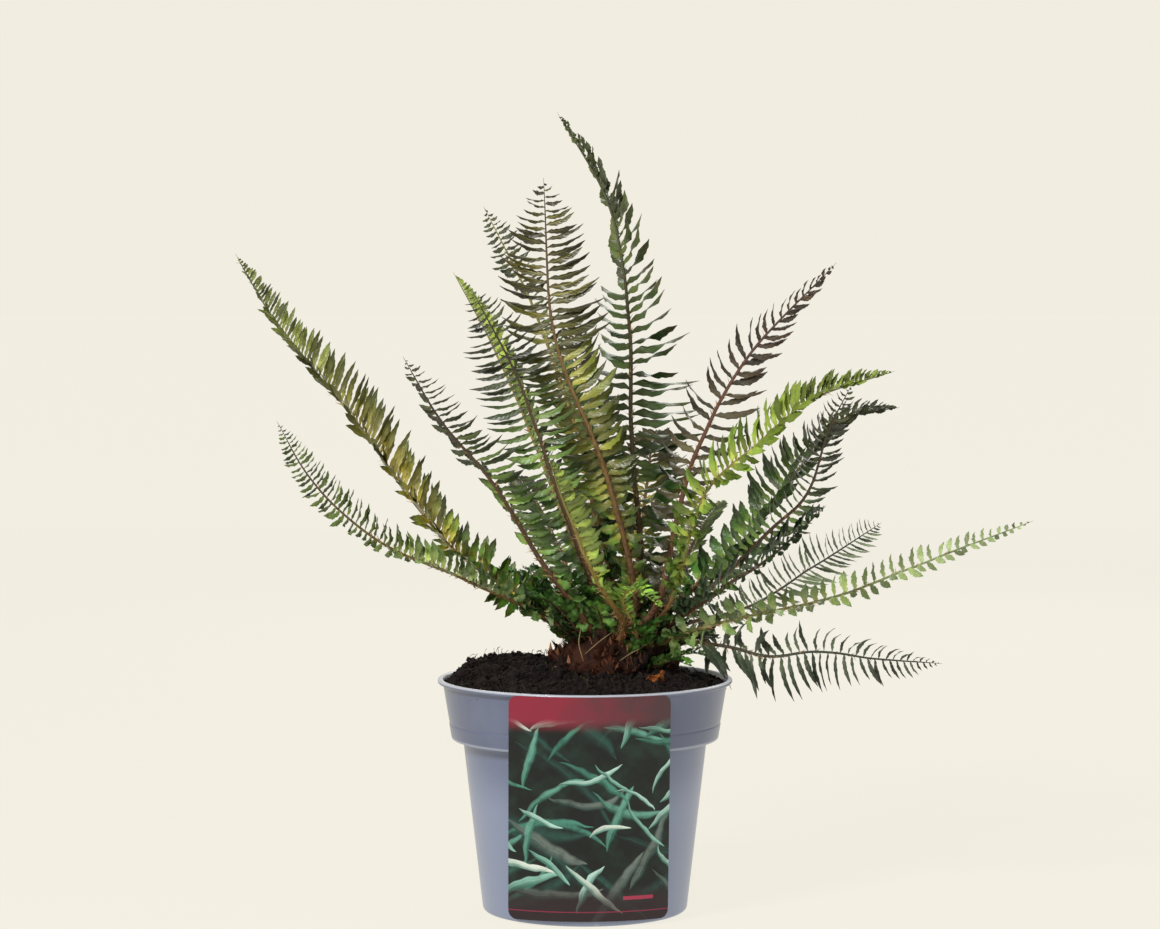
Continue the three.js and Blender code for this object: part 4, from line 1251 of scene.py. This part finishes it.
def soil_tree():
    """Crumbs, clods, fibres and bits of litter strewn over the top of the heap."""
    net = Net(bpy.data.node_groups.new("soil", "GeometryNodeTree"))
    heap = net.given("Heap", "Geometry")
    skins = {
        "crumb": compost("peat_crumbs", "#0b0808", "#2b2220"),
        "fibre": bark("root_fibre", "#241a15", "#3e3028", "#66564a"),
        "litter": bark("litter", "#2c3018", "#3a2c1a", "#5c6430"),
    }
    place = net.place()
    from_middle, from_crown = place * (1, 1, 0), place - CROWN["centre"]
    top = place.axis("Z").above(SOIL["edge_level"] - 2 * MM)
    places = {
        "top": top,
        "inner": top * from_middle.dot(from_middle).below(SOIL["clear_of_rim"] ** 2),
        "crown": top * from_crown.dot(from_crown).below(SOIL["round_crown"] ** 2),
    }
    lump = net.add("GeometryNodeMeshIcoSphere", {}, {"Radius": 1.0, "Subdivisions": 1}, "Mesh")
    lump = net.add(
        "GeometryNodeSetPosition", {}, {"Geometry": lump, "Offset": net.stray(net.place(), 1.7) * 1.6})
    arc = net.add(
        "GeometryNodeCurveArc", {"mode": "RADIUS"},
        {"Resolution": 8, "Radius": 1.0, "Sweep Angle": math.radians(150)}, "Curve")
    ring = net.add("GeometryNodeCurvePrimitiveCircle", {"mode": "RADIUS"}, {"Resolution": 3, "Radius": 0.035})
    thread = net.add(
        "GeometryNodeCurveToMesh", {},
        {"Curve": arc, "Profile Curve": ring, "Scale": 1.0, "Fill Caps": True})
    shapes = {"lump": lump, "thread": thread}
    coats = [(heap, compost("peat", "#080606", "#1a1413"))]
    for seed, (shape, skin, where, density, low, high) in enumerate(STREWN, SOIL["seed"]):
        spots = scattered(net, heap, density, seed, places[where]).out("Points")
        turn = net.chance((-3.1, -3.1, -3.1), (3.1, 3.1, 3.1), seed)
        size = net.chance(low, high, seed) * MM
        coats.append((copied(net, spots, shapes[shape], {"Rotation": turn, "Scale": size}), skins[skin]))
    return coated(net, coats)


def make_soil():
    ride_as(grown("heaped_soil", soil_mesh(), soil_tree()), "compost", "soil")


def crown_tree():
    """The rhizome's knobbly skin, shaggy with scales above the soil."""
    net = Net(bpy.data.node_groups.new("crown", "GeometryNodeTree"))
    knob = net.given("Knob", "Geometry")
    place = net.place()
    bumps = (net.noise(place, 150, 4) - 0.5) * 3 * MM
    outward = net.add("GeometryNodeInputNormal", {}, {}, "Normal")
    rough = net.add("GeometryNodeSetPosition", {}, {"Geometry": knob, "Offset": outward * bumps})
    grain = (place - CROWN["centre"]).unit() * 0.5 + Vector((0, 0, 1))
    shown = place.axis("Z").above(SOIL["edge_level"] + 2 * MM)
    density = CROWN["scales"] * shown * net.noise(place, 70, 2).smooth(0.4, 0.62)
    scales = chaff(net, rough, grain, density, CROWN["seed"], CROWN["scale_length"], 0.5, 0.5)
    return coated(net, [
        # Both skins of the crown carry painted shade towards the right.
        (smoothed(net, rough), bark("rhizome_wood", "#0f0806", "#42200f", "#6e4230", True)),
        (scales, bark("rhizome_scales", "#26120b", "#5c2e1e", "#b07a5a", True)),
    ])


def old_stubs():
    """Broken feet of old stalks, which stand out all round the crown above the soil."""
    draw = random.Random(STUBS["seed"])
    made = []
    for number in range(STUBS["count"]):
        around = (number * 0.618 + draw.uniform(0, 0.2)) * 2 * math.pi
        tilt = math.radians(draw.uniform(*STUBS["tilts"]))
        way = np.array((math.cos(around) * math.cos(tilt), math.sin(around) * math.cos(tilt), math.sin(tilt)))
        reach = draw.uniform(*STUBS["reach"])
        up = np.array((0, 0, draw.uniform(0.3, 1) * STUBS["rise"]))
        path = [
            crown_point(way, 0.6) - up, crown_point(way, 0.3 + 0.65 * reach) - up * 0.3,
            crown_point(way, reach) + up]
        made.append(tube_of("stub", path, draw.uniform(*STUBS["widths"]) * MM, None, 7))
    return made


def make_crown():
    """The crown's solid, drawn in, with old stubs on it, merged, rounded and grown over."""
    knob = holder_of("knob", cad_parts["crown"].data.copy())
    centre = Vector(CROWN["centre"])
    for vertex in knob.data.vertices:
        vertex.co = centre + (vertex.co - centre) * CROWN["core"]
    knob = joined("knob", [knob, *old_stubs()])
    knob.data.materials.clear()
    weld = knob.modifiers.new("weld", "WELD")
    weld.merge_threshold = 0.01 * MM
    remesh = knob.modifiers.new("even", "REMESH")
    remesh.mode = "VOXEL"
    remesh.voxel_size = CROWN["grain"]
    ease = knob.modifiers.new("ease", "SMOOTH")
    ease.factor = 0.6
    ease.iterations = 1
    baked(knob)
    piece = grown("scaly_crown", knob.data, crown_tree())
    bpy.data.objects.remove(knob)
    ride_as(piece, "rhizome", "crown")


# Studio
def make_floor():
    """A wide pale floor that gives off its own tone, so that it meets the backdrop without a seam."""
    made, net = blank_material("studio_floor")
    place = own_place(net)
    surfaced(made, net, {
        "Base Color": net.noise(place, 2, 1).pick("#4a4946", "#494845"),
        "Roughness": 0.9,
        "Specular IOR Level": 0.0,
        "Emission Color": place.dot(place).smooth(0.5, 14).pick("#f1ede0", "#f5f1e5"),
        "Emission Strength": 0.95,
    })
    corners = [(30 * x, 30 * y, 0) for x, y in ((-1, -1), (1, -1), (1, 1), (-1, 1))]
    mesh = mesh_of("floor", corners, [(0, 1, 2, 3)])
    mesh.materials.append(made)
    holder_of("floor", mesh)


def make_light(name, place, size, power):
    """A soft box that points at the middle of the plant."""
    lamp = bpy.data.lights.new(name, "AREA")
    lamp.shape = "RECTANGLE"
    lamp.size, lamp.size_y = size
    lamp.energy = power
    holder = holder_of(name, lamp)
    holder.location = place
    holder.rotation_euler = (Vector(MIDDLE) - Vector(place)).to_track_quat("-Z", "Y").to_euler()


def make_studio():
    """Three lights, a pale backdrop and the camera that the photo was matched with."""
    scene = bpy.context.scene
    scene.view_settings.view_transform = "Standard"
    scene.world = bpy.data.worlds.new("studio")
    scene.world.use_nodes = True
    net = Net(scene.world.node_tree)
    seen = net.add("ShaderNodeLightPath", {}, {}, "Is Camera Ray")
    mirrored = seen.out("Is Glossy Ray").pick(0.3, 0.8)
    glow = net.add("ShaderNodeBackground", {}, {"Color": "#f1ede0", "Strength": seen.pick(mirrored, 1.0)})
    net.add("ShaderNodeOutputWorld", {}, {"Surface": glow})
    for name, light in LIGHTS.items():
        make_light(name, *light)
    eye = bpy.data.cameras.new("eye")
    eye.lens = CAMERA["lens"]
    eye.sensor_width = CAMERA["sensor"]
    eye.clip_end = 100
    scene.camera = holder_of("eye", eye)
    scene.camera.location = CAMERA["place"]
    scene.camera.rotation_euler = (math.radians(90 + CAMERA["pitch"]), 0, 0)


make_studio()
make_floor()
make_pot()
make_card()
make_soil()
make_crown()
make_fronds()
make_dry_bits()
